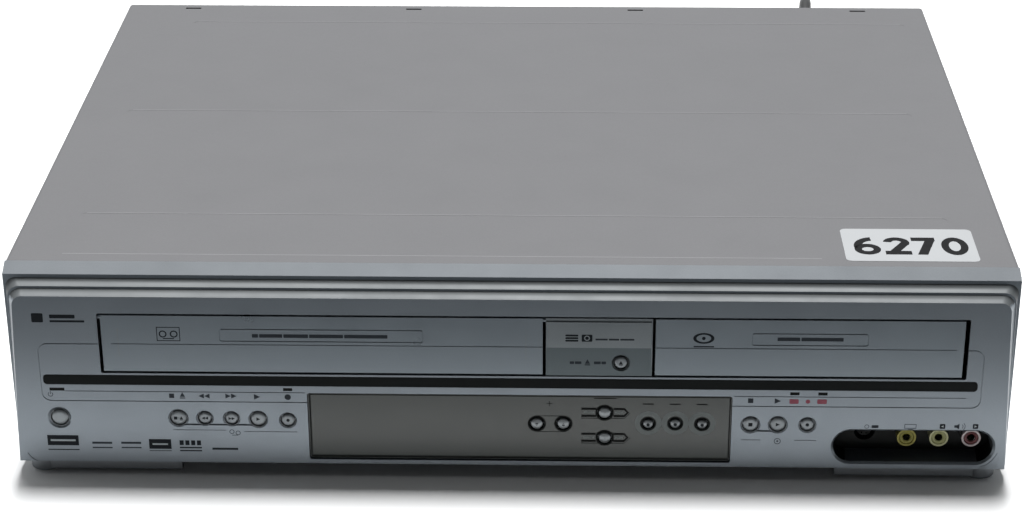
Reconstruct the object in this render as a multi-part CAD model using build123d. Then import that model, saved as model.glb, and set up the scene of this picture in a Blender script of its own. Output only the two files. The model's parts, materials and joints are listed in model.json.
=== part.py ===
from build123d import *
import math
import os

# ---------------------------------------------------------------------------
# Combined tape, disc and hard-disk recorder: flat living-room box.
# Drawn with Y = 0 on the main front face, +Y to the back, Z = 0 on the floor,
# then moved so that the origin is the bottom centre of the box without cord.
# Driving dimensions, millimetres
# ---------------------------------------------------------------------------
HALF_W = 218.0            # half width of the front frame
COVER_HALF = 217.6        # half width of the steel cover
FOOT_H = 7.0              # feet under the housing
TOP_Z = 99.5              # top of the steel cover
SEAM_Y = 11.9             # front edge of the cover
BACK_Y = 336.0            # rear face of the housing
REAR_END = 345.0          # tips of the rear sockets
DOME = 0.9                # how far the highest button stands proud
SHEET = 0.8               # steel sheet
WALL = 2.5                # moulded front wall
LIP_Z = 95.2              # lower lip of the sloping top strip
STEP1_Y, STEP2_Y = 7.6, 3.8     # depth of the two steps of the front
# openings in the front, X and Z
BAY_X0, BAY_X1, BAY_Z0, BAY_Z1 = -177.3, 196.6, 51.3, 80.3
DOOR_X0, DOOR_X1, DOOR_Z0, DOOR_Z1 = -175.9, 14.3, 52.2, 79.2
MID_X0, MID_X1 = 15.7, 61.4
TRAYD_X0, TRAYD_X1, TRAYD_Z0, TRAYD_Z1 = 62.7, 194.6, 52.2, 79.2
LINE_Z = 65.3             # fine level line across doors and centre
WIN_X0, WIN_X1, WIN_Z0, WIN_Z1 = -88.2, 96.6, 9.0, 42.2
STRIP_X0, STRIP_X1, STRIP_Z0, STRIP_Z1 = -202.8, 201.7, 45.6, 50.3
JACK_X0, JACK_X1, JACK_Z0, JACK_Z1 = 141.2, 210.8, 10.0, 25.6
HINGE_Y, HINGE_Z, HINGE_R = 1.9, 78.0, 1.0
TRAVEL = 0.8              # button stroke
# buttons: name, x, z, radius, bearing surface ("panel", "window" or "mid")
BUTTONS = [
    ("power_button", -197.2, 29.0, 3.7, "panel"),
    ("vcr_stop_eject_button", -145.0, 29.2, 3.5, "panel"),
    ("vcr_rewind_button", -133.4, 29.2, 2.9, "panel"),
    ("vcr_forward_button", -121.7, 29.1, 2.9, "panel"),
    ("vcr_play_button", -110.0, 28.9, 3.4, "panel"),
    ("vcr_record_button", -97.0, 28.5, 3.0, "panel"),
    ("disc_stop_button", 104.8, 28.3, 3.4, "panel"),
    ("disc_play_button", 116.7, 28.4, 3.4, "panel"),
    ("disc_record_button", 129.5, 28.4, 3.0, "panel"),
    ("tray_open_button", 48.0, 58.0, 2.9, "mid"),
    ("channel_down_button", 11.8, 27.8, 2.6, "window"),
    ("channel_up_button", 23.4, 27.9, 2.6, "window"),
    ("copy_to_disc_button", 41.3, 33.5, 2.6, "window"),
    ("copy_to_tape_button", 41.5, 21.0, 2.6, "window"),
    ("select_button_left", 60.3, 28.2, 2.1, "window"),
    ("select_button_middle", 72.1, 28.4, 2.1, "window"),
    ("select_button_right", 83.8, 28.2, 2.1, "window"),
]
# front sockets
RCA_X = (174.0, 188.1, 202.2)
RCA_Z, RCA_R, RCA_BORE = 18.6, 4.2, 1.65
RCA_Y = 6.8               # front face of the phono sockets
SV_X, SV_Z, SV_R = 156.0, 19.3, 6.2
RECESS_Y = 12.0
# tape deck
CASS_X0, CASS_X1 = -175.2, 13.0     # clear width of the cassette holder
HOLD_Y0, HOLD_L = 36.0, 102.0
HOLD_Z0, HOLD_Z1 = 52.3, 78.3
DECK_Z = 24.0
REEL_X, REEL_Y = (-127.3, -34.9), 146.0
DRUM_X, DRUM_Y, DRUM_R = -84.0, 238.0, 31.0
CAP_X, CAP_Y = -12.0, 226.0
# disc drive
LOAD_X0, LOAD_X1, LOAD_Y0, LOAD_Y1 = 62.6, 195.4, 19.0, 200.0
TRAY_X0, TRAY_X1, TRAY_Y1, TRAY_Z0, TRAY_Z1 = 66.0, 192.0, 166.0, 62.0, 66.0
DISC_X, DISC_Y = 129.0, 72.0
# mains lead
CORD_D = 6.5
COIL_X, COIL_Y, COIL_R = 110.0, 386.5, 39.0
ROUTE = [(156.0, 360.0, 84.0), (157.5, 376.2, 86.9), (159.0, 392.2, 82.9), (160.2, 405.7, 72.6), (161.2, 414.3, 57.3),
         (161.2, 421.4, 36.2), (154.7, 426.4, 21.2), (142.7, 430.2, 9.6), (127.0, 432.0, 3.25), (110.0, 432.0, 3.25)]
TAIL = [(110.0, 432.0, 9.75), (92.0, 432.5, 9.6), (73.0, 431.0, 8.0), (56.0, 427.5, 7.0), (40.0, 426.5, 6.9)]

SHIFT_Y = -(REAR_END - DOME) / 2.0
os.makedirs("parts", exist_ok=True)


# --- small helpers ----------------------------------------------------------
def bx(x0, x1, y0, y1, z0, z1):
    return Pos((x0 + x1) / 2, (y0 + y1) / 2, (z0 + z1) / 2) * Box(x1 - x0, y1 - y0, z1 - z0)


def face_plane(y):
    # sketch x runs along +X and sketch y along +Z, seen from the front
    return Plane(origin=(0, y, 0), x_dir=(1, 0, 0), z_dir=(0, -1, 0))


def fr(sk, y0, y1):
    # a sketch in X and Z made solid from y0 to y1
    return extrude(face_plane(y1) * sk, amount=y1 - y0)


def rr(x0, x1, z0, z1, r=0.0):
    w, h = x1 - x0, z1 - z0
    s = RectangleRounded(w, h, min(r, w / 2 - 0.001, h / 2 - 0.001)) if r else Rectangle(w, h)
    return Pos((x0 + x1) / 2, (z0 + z1) / 2) * s


def cy(x, z, r, y0, y1):
    # cylinder along Y
    return Pos(x, (y0 + y1) / 2, z) * Rot(90, 0, 0) * Cylinder(r, y1 - y0)


def cz(x, y, r, z0, z1):
    return Pos(x, y, (z0 + z1) / 2) * Cylinder(r, z1 - z0)


def cx(y, z, r, x0, x1):
    return Pos((x0 + x1) / 2, y, z) * Rot(0, 90, 0) * Cylinder(r, x1 - x0)


def out(name, shape):
    moved = Pos(0, SHIFT_Y, 0) * shape
    moved.label = name
    export_step(moved, "parts/%s.step" % name)


def trap(top, bottom, z0, z1, r):
    s = make_face(Polyline((-bottom, z0), (bottom, z0), (top, z1), (-top, z1), close=True))
    return fillet([v for v in s.vertices() if v.Y > z1 - 1], r)


def outline(x0, x1, z0, z1, r, w):
    return rr(x0, x1, z0, z1, r) - rr(x0 + w, x1 - w, z0 + w, z1 - w, max(r - w, 0.1))


# --- front panel ------------------------------------------------------------
# each ridge rises from the sharp edge of the face below it in a hollow curve, and ends at a short upright step
COVE2 = [(0.0, 213.2, 216.6, 88.3, 4.6), (1.5, 213.9, 216.9, 88.7, 4.9), (2.8, 214.6, 217.1, 89.35, 5.2), (STEP2_Y, 215.3, 217.3, 90.3, 5.6)]
COVE1 = [(STEP2_Y, 215.7, 217.45, 91.3, 5.6), (5.3, 216.1, 217.55, 91.7, 5.2), (6.6, 216.6, 217.65, 92.4, 4.8), (STEP1_Y, 217.0, 217.75, 93.6, 4.5)]


def cove(rows):
    solid = None
    for a, b in zip(rows, rows[1:]):
        piece = loft([face_plane(a[0]) * trap(a[1], a[2], FOOT_H, a[3], a[4]), face_plane(b[0]) * trap(b[1], b[2], FOOT_H, b[3], b[4])], ruled=True)
        solid = piece if solid is None else solid + piece
    return solid


ridge2 = cove(COVE2)
ridge1 = cove(COVE1) + fr(trap(217.0, 217.75, FOOT_H, 93.6, 4.5), STEP1_Y, STEP1_Y + 1)
yz = Plane(origin=(-HALF_W, 0, 0), x_dir=(0, 1, 0), z_dir=(1, 0, 0))
frame0 = extrude(yz * make_face(Polyline((STEP1_Y, FOOT_H + 6.0), (STEP1_Y, LIP_Z), (SEAM_Y, TOP_Z), (SEAM_Y, FOOT_H + 6.0), close=True)), amount=2 * HALF_W)
foot0 = bx(-217.4, 217.4, STEP1_Y, SEAM_Y, FOOT_H, FOOT_H + 6.0)
tongue = bx(-216.6, 216.6, SEAM_Y, 19.0, FOOT_H + 0.9, TOP_Z - SHEET - 0.1)
tongue = chamfer([e for e in tongue.edges().filter_by(Axis.Y) if e.center().Z > 90], 1.0)
panel = ridge2 + ridge1 + frame0 + foot0 + tongue
panel -= bx(-211.6, 211.6, WALL, 19.1, 9.6, 86.6)
panel -= bx(-213.6, 213.6, STEP2_Y + 2.4, 19.1, 9.6, 90.6)
panel -= bx(-214.6, 214.6, STEP1_Y + 2.4, 19.1, 9.6, 95.4)
# walls of the socket recess, blind behind
stad = Pos((JACK_X0 + JACK_X1) / 2, (JACK_Z0 + JACK_Z1) / 2)
jw, jh = JACK_X1 - JACK_X0, JACK_Z1 - JACK_Z0
panel += fr(stad * RectangleRounded(jw + 2.2, jh + 2.2, jh / 2 + 1.0), WALL - 0.1, RECESS_Y) & bx(130, 211.7, 0, 20, 9.0, 40)
panel -= fr(stad * SlotOverall(jw - 0.01, jh), -1, RECESS_Y + 0.1)
cone = loft([face_plane(0) * stad * SlotOverall(jw + 2.0, jh + 2.0), face_plane(1.1) * stad * SlotOverall(jw - 0.4, jh - 0.4)])
panel -= cone
# hinge boss for the cassette door, and posts for the centre plate
panel += bx(-182.5, BAY_X0, WALL - 0.1, 4.8, 74.5, 83.0)
# the long bay for doors and centre plate
panel -= fr(rr(BAY_X0, BAY_X1, BAY_Z0, BAY_Z1, 0.8), -1, 5.2) & bx(BAY_X0, BAY_X1, -1, 5.2, BAY_Z0, BAY_Z1)
panel -= cx(HINGE_Y, HINGE_Z, HINGE_R + 0.05, -180.4, BAY_X0 + 1)
# display window opening
panel -= fr(rr(WIN_X0, WIN_X1, WIN_Z0, WIN_Z1, 1.2), -1, 5)
# pocket for the black strip
panel -= fr(rr(STRIP_X0 - 0.1, STRIP_X1 + 0.1, STRIP_Z0 - 0.1, STRIP_Z1 + 0.1, 1.7), -1, 1.1)
# engraved outline, fine line under the strip, level line left and right of the bay
G, GD = 0.45, 0.35
groove = outline(-204.0, 203.6, 37.3, LINE_Z + 0.45, 4.0, G)
panel -= fr(groove, -1, GD)
panel -= fr(rr(-193.9, WIN_X0 - 0.8, 42.15, 42.5), -1, 0.3) + fr(rr(WIN_X1 + 0.8, 197.0, 42.15, 42.5), -1, 0.3)
# fine bracket lines under the two button rows, with a gap in the middle
for x0, x1, z in ((-147.7, -124.4, 23.2), (-116.6, -93.2, 22.6), (101.0, 109.6, 20.6), (124.2, 133.7, 20.6)):
    panel -= fr(rr(x0, x1, z, z + 0.35), -1, 0.25)
# small arcs beside the recess and in the lower corners
arc1 = (Pos(JACK_X1 - jh / 2, (JACK_Z0 + JACK_Z1) / 2) * (Circle(jh / 2 + 2.4) - Circle(jh / 2 + 2.0))) & rr(205.6, 214, 8.3, 15.0)
panel -= fr(arc1, -1, 0.3)
arc2 = (Pos(-206.0, 14.0) * (Circle(7.6) - Circle(7.2))) & rr(-213.0, -207.5, 5, 11.0)
panel -= fr(arc2, -1, 0.3)
# shallow links between neighbouring buttons
for x0, x1, z in ((-145.0, -110.0, 26.2), (104.8, 116.7, 25.4)):
    panel -= fr(rr(x0, x1, z - 0.5, z + 0.5, 0.5), -1, 0.7)
# button holes
for name, x, z, r, where in BUTTONS:
    if where == "panel":
        panel -= cy(x, z, r + 0.55, -1, 5)
        k = 1.5 if name == "power_button" else 0.55
        panel -= Pos(x, 0.2, z) * Rot(90, 0, 0) * Cone(r + 0.55, r + 0.55 + k, 0.9 if k > 1 else 0.7, align=(Align.CENTER, Align.CENTER, Align.CENTER))
# indicator windows
LENSES = [(-200.5, -194.0, 43.0), (-98.5, -94.5, 43.7), (121.4, 125.4, 43.7), (133.5, 137.5, 43.7)]
for x0, x1, z in LENSES:
    panel -= fr(rr(x0, x1, z, z + 0.9), -1, 5)
out("front_panel", panel)

# --- black strip, indicator lenses, centre plate ------------------------------
strip = fr(rr(STRIP_X0, STRIP_X1, STRIP_Z0, STRIP_Z1, 1.6), -0.1, 1.1)
out("trim_strip", strip)
lens = [fr(rr(x0 + 0.05, x1 - 0.05, z + 0.05, z + 0.85), 0.05, WALL) + bx(x0 - 1, x1 + 1, WALL, WALL + 1.5, z - 0.8, z + 1.6) for x0, x1, z in LENSES]
out("indicator_lenses", Compound(children=lens))

mid = bx(MID_X0, MID_X1, 0.35, WALL, DOOR_Z0 - 0.4, DOOR_Z1 + 0.2)
mid += bx(MID_X0 + 0.1, MID_X1 - 0.5, -0.25, 1.0, LINE_Z + 0.3, 77.9)
mid += bx(MID_X0, MID_X0 + 5.5, WALL - 0.1, 4.6, 74.5, DOOR_Z1 + 0.2)
mid += bx(MID_X0 + 8, MID_X1 - 3, WALL - 0.05, 4.2, 49.0, 55.0) + bx(MID_X0 + 8, MID_X1 - 3, WALL - 0.05, 4.2, 77.0, 83.0)
mid -= bx(MID_X0 + 8, MID_X1 - 3, 2.0, WALL, 48.9, BAY_Z0) + bx(MID_X0 + 8, MID_X1 - 3, 2.0, WALL, BAY_Z1, 83.1)
mid -= cx(HINGE_Y, HINGE_Z, HINGE_R + 0.05, MID_X0 - 1, MID_X0 + 3.4)
mid -= cy(48.0, 58.0, 2.9 + 0.55, -1, 6) + Pos(48.0, 0.5, 58.0) * Rot(90, 0, 0) * Cone(3.45, 4.2, 0.7)
out("centre_plate", mid)

# --- cassette door ------------------------------------------------------------
door = bx(DOOR_X0, DOOR_X1, 0.4, 2.4, DOOR_Z0, DOOR_Z1)
door -= fr(outline(-124.9, -37.0, 67.0, 73.2, 1.0, G), 0, 0.4 + GD)
door -= fr(rr(DOOR_X0 + 4, DOOR_X1 - 0.01, LINE_Z, LINE_Z + 0.4), 0, 0.7)
door += cx(HINGE_Y, HINGE_Z, HINGE_R, DOOR_X0 - 3.6, DOOR_X0 + 1) + cx(HINGE_Y, HINGE_Z, HINGE_R, DOOR_X1 - 1, DOOR_X1 + 3.8)
door += bx(DOOR_X0, DOOR_X0 + 2, 2.3, 3.0, 58, DOOR_Z1 - 2) + bx(DOOR_X1 - 2, DOOR_X1, 2.3, 3.0, 58, DOOR_Z1 - 2)
out("cassette_door", door)

# spring behind the left hinge boss, on a peg of its own
wind = Helix(pitch=0.8, height=4.0, radius=2.1)
spring = sweep(Plane(origin=wind @ 0, z_dir=wind % 0) * Circle(0.28), path=wind, is_frenet=True)
spring = Pos(-187.0, 9.0, 77.0) * Rot(0, 90, 0) * spring
out("door_spring", spring)

# --- display window and display ------------------------------------------------
win = fr(rr(WIN_X0 + 0.55, WIN_X1 - 0.45, WIN_Z0 + 0.9, WIN_Z1 - 0.35, 1.0), 0.3, WALL)
win += bx(WIN_X0 - 1.6, WIN_X1 + 1.6, WALL, WALL + 1.2, WIN_Z0 + 0.8, WIN_Z1 + 2.0) & bx(WIN_X0 - 1.6, WIN_X1 + 1.6, 0, 10, 9.7, 44.2)
for name, x, z, r, where in BUTTONS:
    if where == "window":
        win -= cy(x, z, r + 0.65, -1, 5)
        win -= Pos(x, 0.45, z) * Rot(90, 0, 0) * Cone(r + 0.65, r + 1.1, 0.6)
# fine engraved capsules round the channel keys and the copy keys
win -= fr(outline(8.0, 27.2, 23.7, 31.9, 4.0, 0.35), 0, 0.55)
for zc_ in (33.5, 21.0):
    arrow = make_face(Polyline((31.2, zc_ - 2.9), (50.0, zc_ - 2.9), (52.6, zc_), (50.0, zc_ + 2.9), (31.2, zc_ + 2.9), close=True))
    win -= fr(arrow, 0, 0.6)
out("display_window", win)

disp = bx(-80, -2, 6.0, 11.0, 13.0, 40.0) + bx(-78, -4, 5.4, 6.1, 15.0, 38.0)
out("display_module", disp)

# --- buttons ---------------------------------------------------------------------
for name, x, z, r, where in BUTTONS:
    # a domed cap turned about its own axis, with a retaining flange and a stem
    rim, crown = (0.1, 0.6) if where == "window" else (0.4, 0.7)
    if name == "power_button":
        rim, crown = 0.5, 0.5
    flange = r + 1.0
    if where != "window":
        r -= 0.45
    sphere_r = (r * r + crown * crown) / (2 * crown)
    y_fl = 4.0 if where == "window" else (4.5 if where == "mid" else 2.8)
    apex = crown - rim
    mid_z = apex - (sphere_r - math.sqrt(sphere_r ** 2 - (r / 2) ** 2))
    dome = ThreePointArc((0, apex), (r / 2, mid_z), (r, -rim))
    rest = Polyline((r, -rim), (r, -y_fl), (flange, -y_fl), (flange, -y_fl - 1.0), (1.4, -y_fl - 1.0), (1.4, -8.2), (0, -8.2), (0, apex))
    body = revolve(Plane.XZ * make_face([dome, rest]), Axis.Z)
    body = Pos(x, 0, z) * Rot(90, 0, 0) * body
    if where == "window" and name.startswith("select"):
        body -= cy(x, z, 0.55, -2, -0.1)
    out(name, body)

# --- switch board behind the front ---------------------------------------------
board = bx(-206, 136, 12.6, 14.2, 12.0, 45.0) + bx(28, 60, 12.6, 14.2, 44.9, 64.0)
for name, x, z, r, where in BUTTONS:
    board += bx(x - 3, x + 3, 10.4, 12.7, z - 3, z + 3) + cy(x, z, 1.6, 9.3, 10.5)
board += bx(-80, -2, 11.0, 12.7, 14.0, 39.0)
for x in (-200, -60, 100):
    board += bx(x, x + 18, 14.1, 22.0, 33, 38)
out("front_board", board)

# --- front sockets ---------------------------------------------------------------
plate = bx(139.5, 211.5, RECESS_Y, RECESS_Y + 1.6, 9.7, 30.0)
plate -= cy(SV_X, SV_Z, 4.9, 0, 23)
for x in RCA_X:
    plate -= cy(x, RCA_Z, RCA_R + 0.02, 0, 23)
plate += bx(139.5, 211.5, RECESS_Y + 12.4, RECESS_Y + 14.0, 9.7, 36.0)
plate += bx(139.5, 141.5, RECESS_Y, RECESS_Y + 13.0, 28.0, 30.0) + bx(209.5, 211.5, RECESS_Y, RECESS_Y + 13.0, 28.0, 30.0)
out("jack_panel", plate)
jacks = []
for x in RCA_X:
    j = cy(x, RCA_Z, RCA_R, RCA_Y, RECESS_Y + 5) + bx(x - 5, x + 5, RECESS_Y + 1.6, RECESS_Y + 12.4, 12.6, 25.0)
    j -= cy(x, RCA_Z, RCA_BORE, 0, 22.0)
    j -= cy(x, RCA_Z, 3.3, RCA_Y - 0.1, RCA_Y + 0.8)
    jacks.append(j)
out("front_rca_jacks", Compound(children=jacks))
sv = cy(SV_X, SV_Z, SV_R, RECESS_Y - 0.4, RECESS_Y) + cy(SV_X, SV_Z, 4.9, RECESS_Y - 0.1, RECESS_Y + 2) + bx(SV_X - 6.5, SV_X + 6.5, RECESS_Y + 1.6, RECESS_Y + 12.4, 12.6, 27.0)
sv -= cy(SV_X, SV_Z, 4.6, 10.5, 17.0) - cy(SV_X, SV_Z, 3.0, 12.8, 18.0)
for dx, dz in ((-1.9, 0.9), (1.9, 0.9), (-1.0, -1.6), (1.0, -1.6)):
    sv -= cy(SV_X + dx, SV_Z + dz, 0.4, 12.0, 16.5)
out("s_video_jack", sv)

# --- feet ------------------------------------------------------------------------
feet = []
for s in (-1, 1):
    x0, x1 = (145.4, 203.8) if s < 0 else (142.8, 203.6)
    bar = bx(s * x0 if s > 0 else -x1, x1 if s > 0 else -x0, 3.2, 22.0, 1.0, FOOT_H)
    end = cz(s * 207.0, 10.5, 7.0, 0.0, FOOT_H)
    end2 = bx(min(s * 200, s * 204), max(s * 200, s * 204), 6.0, 20.0, 0.0, FOOT_H)
    bar = fillet([e for e in bar.edges() if abs(e.center().Y - 3.2) < 0.01 and abs(e.center().Z - 1.0) < 0.01], 0.8)
    feet.append(bar + end + end2)
    feet.append(cz(s * 180.0, 300.0, 12.0, 0.0, FOOT_H) - cz(s * 180.0, 300.0, 3.2, -0.1, 3.0))
out("feet", Compound(children=feet))

# --- chassis pan -------------------------------------------------------------------
pan = bx(-215.6, 215.6, 19.2, 334.2, FOOT_H, FOOT_H + 1.0)
for s in (-1, 1):
    pan += bx(min(s * 215.6, s * 214.6), max(s * 215.6, s * 214.6), 19.2, 334.2, FOOT_H, 24.0)
pan += bx(-215.6, 215.6, 333.4, 334.3, FOOT_H, 19.0)
pan += bx(-211, 136, 19.2, 20.2, FOOT_H, 15.0)
for gx in (-150, -40, 90, 160):
    for i in range(7):
        pan -= bx(gx - 16, gx + 16, 120 + 9 * i, 123 + 9 * i, 6, 9)
for px, py, h in ((54, 219, 14), (193, 219, 14), (54, 310, 14), (193, 310, 14), (40, 60, 14), (204, 60, 14)):
    pan += cz(px, py, 4.0, FOOT_H + 0.9, h)
for px, py in ((54, 219), (193, 219), (54, 310), (193, 310)):
    pan += cz(px, py, 2.4, 13.9, 40.0)
for px, py in ((-205, 288), (-26, 288), (-205, 325), (-26, 325)):
    pan += cz(px, py, 3.0, FOOT_H + 0.9, 13.0)
for px, py in ((-172, 50), (8, 50), (-172, 266), (8, 266)):
    pan += cz(px, py, 3.5, FOOT_H + 0.9, DECK_Z)
for px, py in ((70, 30), (188, 30), (70, 190), (188, 190)):
    pan += cz(px, py, 3.2, FOOT_H + 0.9, 44.0)
out("chassis_base", pan)

# --- steel cover ----------------------------------------------------------------------
cw = COVER_HALF
xz_out = fillet([v for v in make_face(Polyline((-cw, 9.0), (cw, 9.0), (cw, TOP_Z), (-cw, TOP_Z), close=True)).vertices() if v.Y > 50], 2.0)
xz_in = fillet([v for v in make_face(Polyline((-cw + SHEET, 8.0), (cw - SHEET, 8.0), (cw - SHEET, TOP_Z - SHEET), (-cw + SHEET, TOP_Z - SHEET), close=True)).vertices() if v.Y > 50], 1.2)
cover = fr(xz_out, SEAM_Y, BACK_Y) - fr(xz_in, SEAM_Y - 1, BACK_Y + 1)
cover += bx(-cw + 1.5, cw - 1.5, BACK_Y - SHEET, BACK_Y, 90.9, TOP_Z - 0.4)
cover += bx(-cw + 0.4, -cw + 10, BACK_Y - SHEET, BACK_Y, 9.0, 97.0) + bx(cw - 10, cw - 0.4, BACK_Y - SHEET, BACK_Y, 9.0, 97.0)
RIBS = [(-178.0, 204.0, 307.0), (-192.5, 192.3, 180.5), (-193.0, 193.0, 58.5), (-194.0, 134.0, 19.3)]
for x0, x1, y in RIBS[:3]:
    groove_r = Pos((x0 + x1) / 2, y, 0) * SlotOverall(x1 - x0, 6.0)
    under = Pos((x0 + x1) / 2, y, 0) * SlotOverall(x1 - x0 + 1.2, 7.2)
    cover += Pos(0, 0, TOP_Z - SHEET - 0.35) * extrude(under, amount=0.6)
    cover -= Pos(0, 0, TOP_Z - 0.35) * extrude(groove_r, amount=1.0)
for x in (-181.4, -60.5, 60.5, 181.4):
    cover -= bx(x - 4.2, x + 4.2, 329.9, 331.7, 90, 101)
for s in (-1, 1):
    for i in range(14):
        y = 150 + 9.0 * i
        cover -= bx(s * cw - 2, s * cw + 2, y, y + 3.0, 42, 66)
SCREWS = [(-150.0, 94.6), (0.0, 94.6), (120.0, 94.6), (-212.0, 40.0), (212.0, 40.0)]
for x, z in SCREWS:
    cover -= cy(x, z, 1.7, BACK_Y - 2, BACK_Y + 1)
out("top_cover", cover)

# --- rear panel -------------------------------------------------------------------------
RP0, RP1 = BACK_Y - 2 * SHEET, BACK_Y - SHEET
rear = bx(-215.4, 215.4, RP0, RP1, 8.2, 98.0)
for x, z in SCREWS:
    rear -= cy(x, z, 1.5, RP0 - 1, RP1 + 1)
SCART = [(-118.0, 62.0), (-118.0, 34.0)]
for x, z in SCART:
    rear -= bx(x - 25.2, x + 25.2, RP0 - 1, RP1 + 1, z - 8.2, z + 8.2)
RRCA = [(-58.0 + 16 * i, z) for i in range(3) for z in (62.0, 46.0)] + [(-58.0, 30.0), (-42.0, 30.0)]
for x, z in RRCA:
    rear -= cy(x, z, 4.2, RP0 - 1, RP1 + 1)
AERIAL = [(-182.0, 66.0), (-182.0, 40.0)]
for x, z in AERIAL:
    rear -= cy(x, z, 6.6, RP0 - 1, RP1 + 1)
for i in range(12):
    rear -= bx(28 + 8 * i, 31 + 8 * i, RP0 - 1, RP1 + 1, 28, 68)
rear -= cy(156.0, 84.0, 5.0, RP0 - 1, RP1 + 1)
out("rear_panel", rear)

sc = []
for x, z in SCART:
    shell = bx(x - 25.0, x + 25.0, RP0 - 12, REAR_END - 3, z - 8.0, z + 8.0) - bx(x - 23.8, x + 23.8, RP0 - 6, REAR_END, z - 6.8, z + 6.8)
    shell += bx(x - 21.0, x + 21.0, RP0 - 7, REAR_END - 4, z - 3.6, z + 3.6)
    shell -= bx(x - 19.5, x + 19.5, RP0 + 3, REAR_END, z - 1.2, z + 1.2)
    sc.append(shell)
out("scart_sockets", Compound(children=sc))
rj = bx(-65.5, -18.5, RP0 - 12, RP0, 38.5, 69.0) + bx(-65.5, -34.5, RP0 - 12, RP0, 22.5, 39.0)
for x, z in RRCA:
    rj += cy(x, z, 4.15, RP0 - 2, REAR_END - 1.5)
for x, z in RRCA:
    rj -= cy(x, z, RCA_BORE, RP0 - 6, REAR_END + 1) + cy(x, z, 3.3, REAR_END - 2.3, REAR_END)
out("rear_rca_jacks", rj)
tn = bx(-205, -160, RP0 - 52, RP0, 26.0, 80.0)
for x, z in AERIAL:
    tn += cy(x, z, 6.5, RP0 - 1, REAR_END)
tn -= cy(AERIAL[0][0], AERIAL[0][1], 4.75, REAR_END - 9, REAR_END + 1) - cy(AERIAL[0][0], AERIAL[0][1], 1.2, REAR_END - 9.5, REAR_END - 1)
tn -= (cy(AERIAL[1][0], AERIAL[1][1], 7, REAR_END - 8, REAR_END + 1) - cy(AERIAL[1][0], AERIAL[1][1], 4.7, REAR_END - 8.5, REAR_END + 1))
tn -= cy(AERIAL[1][0], AERIAL[1][1], 1.3, REAR_END - 8, REAR_END + 1)
out("tuner_module", tn)

# --- screws ----------------------------------------------------------------------------------
scr = []
for x, z in SCREWS:
    s_ = cy(x, z, 3.2, BACK_Y, BACK_Y + 1.6) + cy(x, z, 1.4, BACK_Y - 7.0, BACK_Y + 0.1)
    s_ -= bx(x - 2.0, x + 2.0, BACK_Y + 0.9, BACK_Y + 2, z - 0.35, z + 0.35) + bx(x - 0.35, x + 0.35, BACK_Y + 0.9, BACK_Y + 2, z - 2.0, z + 2.0)
    scr.append(s_)
out("cover_screws", Compound(children=scr))

# --- paper label on the cover -----------------------------------------------------------------
lab = fillet([v for v in (Pos(173.0, 33.4) * Rectangle(57.4, 32.6)).vertices()], 3.2)
out("inventory_label", Pos(0, 0, TOP_Z) * extrude(lab, amount=0.12))

# --- tape deck ---------------------------------------------------------------------------------
deck = bx(-179.6, 17.2, 34.0, 276.0, DECK_Z, DECK_Z + 1.2)
for x0, x1 in ((-179.6, -178.4), (16.0, 17.2)):
    side = bx(x0, x1, 34.0, 212.0, DECK_Z, 86.0)
    side -= bx(x0 - 1, x1 + 1, 60.0, 190.0, 68.0, 72.0)
    side -= bx(x0 - 1, x1 + 1, 60.0, 180.0, 34.0, 50.0)
    deck += side
deck += bx(-179.6, 17.2, 204.0, 212.0, 85.0, 86.2)
for x in REEL_X:
    deck += cz(x, REEL_Y, 5.0, DECK_Z, DECK_Z + 3.0)
    deck -= cz(x, REEL_Y, 2.05, DECK_Z - 1, DECK_Z + 10)
deck += cz(CAP_X, CAP_Y, 5.0, DECK_Z - 3.0, DECK_Z + 8.0)
deck -= cz(CAP_X, CAP_Y, 1.55, DECK_Z - 4, DECK_Z + 12)
for x, y in ((-148, 226), (-20, 252), (-148, 200)):
    deck += cz(x, y, 2.6, DECK_Z, 52.0)
deck += bx(-175, -150, 236, 268, DECK_Z, DECK_Z + 18)
out("tape_deck", deck)

car = bx(-177.8, -176.8, 40.0, 134.0, 56.0, 84.2) + bx(14.6, 15.6, 40.0, 134.0, 56.0, 84.2)
car += bx(-177.8, 15.6, 118.0, 134.0, 83.0, 84.2)
for x0, x1 in ((-178.3, -177.7), (15.5, 15.9)):
    car += cx(66.0, 70.0, 1.6, x0, x1) + cx(120.0, 70.0, 1.6, x0, x1)
out("loading_carriage", car)

h = bx(CASS_X0 - 0.8, CASS_X1 + 0.8, HOLD_Y0, HOLD_Y0 + HOLD_L, HOLD_Z0 - 0.8, HOLD_Z1 + 0.8)
h -= bx(CASS_X0, CASS_X1, HOLD_Y0 - 1, HOLD_Y0 + HOLD_L + 1, HOLD_Z0, HOLD_Z1)
h -= bx(CASS_X0 + 14, CASS_X1 - 14, HOLD_Y0 - 1, HOLD_Y0 + HOLD_L + 1, HOLD_Z0 - 2, HOLD_Z0 + 1)
h -= bx(CASS_X0 + 30, CASS_X1 - 30, HOLD_Y0 + 16, HOLD_Y0 + HOLD_L - 16, HOLD_Z1 - 1, HOLD_Z1 + 2)
h += bx(CASS_X0 + 4, CASS_X0 + 12, HOLD_Y0 + HOLD_L - 1.0, HOLD_Y0 + HOLD_L, HOLD_Z0 - 0.5, HOLD_Z0 + 8) + bx(CASS_X1 - 12, CASS_X1 - 4, HOLD_Y0 + HOLD_L - 1.0, HOLD_Y0 + HOLD_L, HOLD_Z0 - 0.5, HOLD_Z0 + 8)
out("cassette_holder", h)

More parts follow.
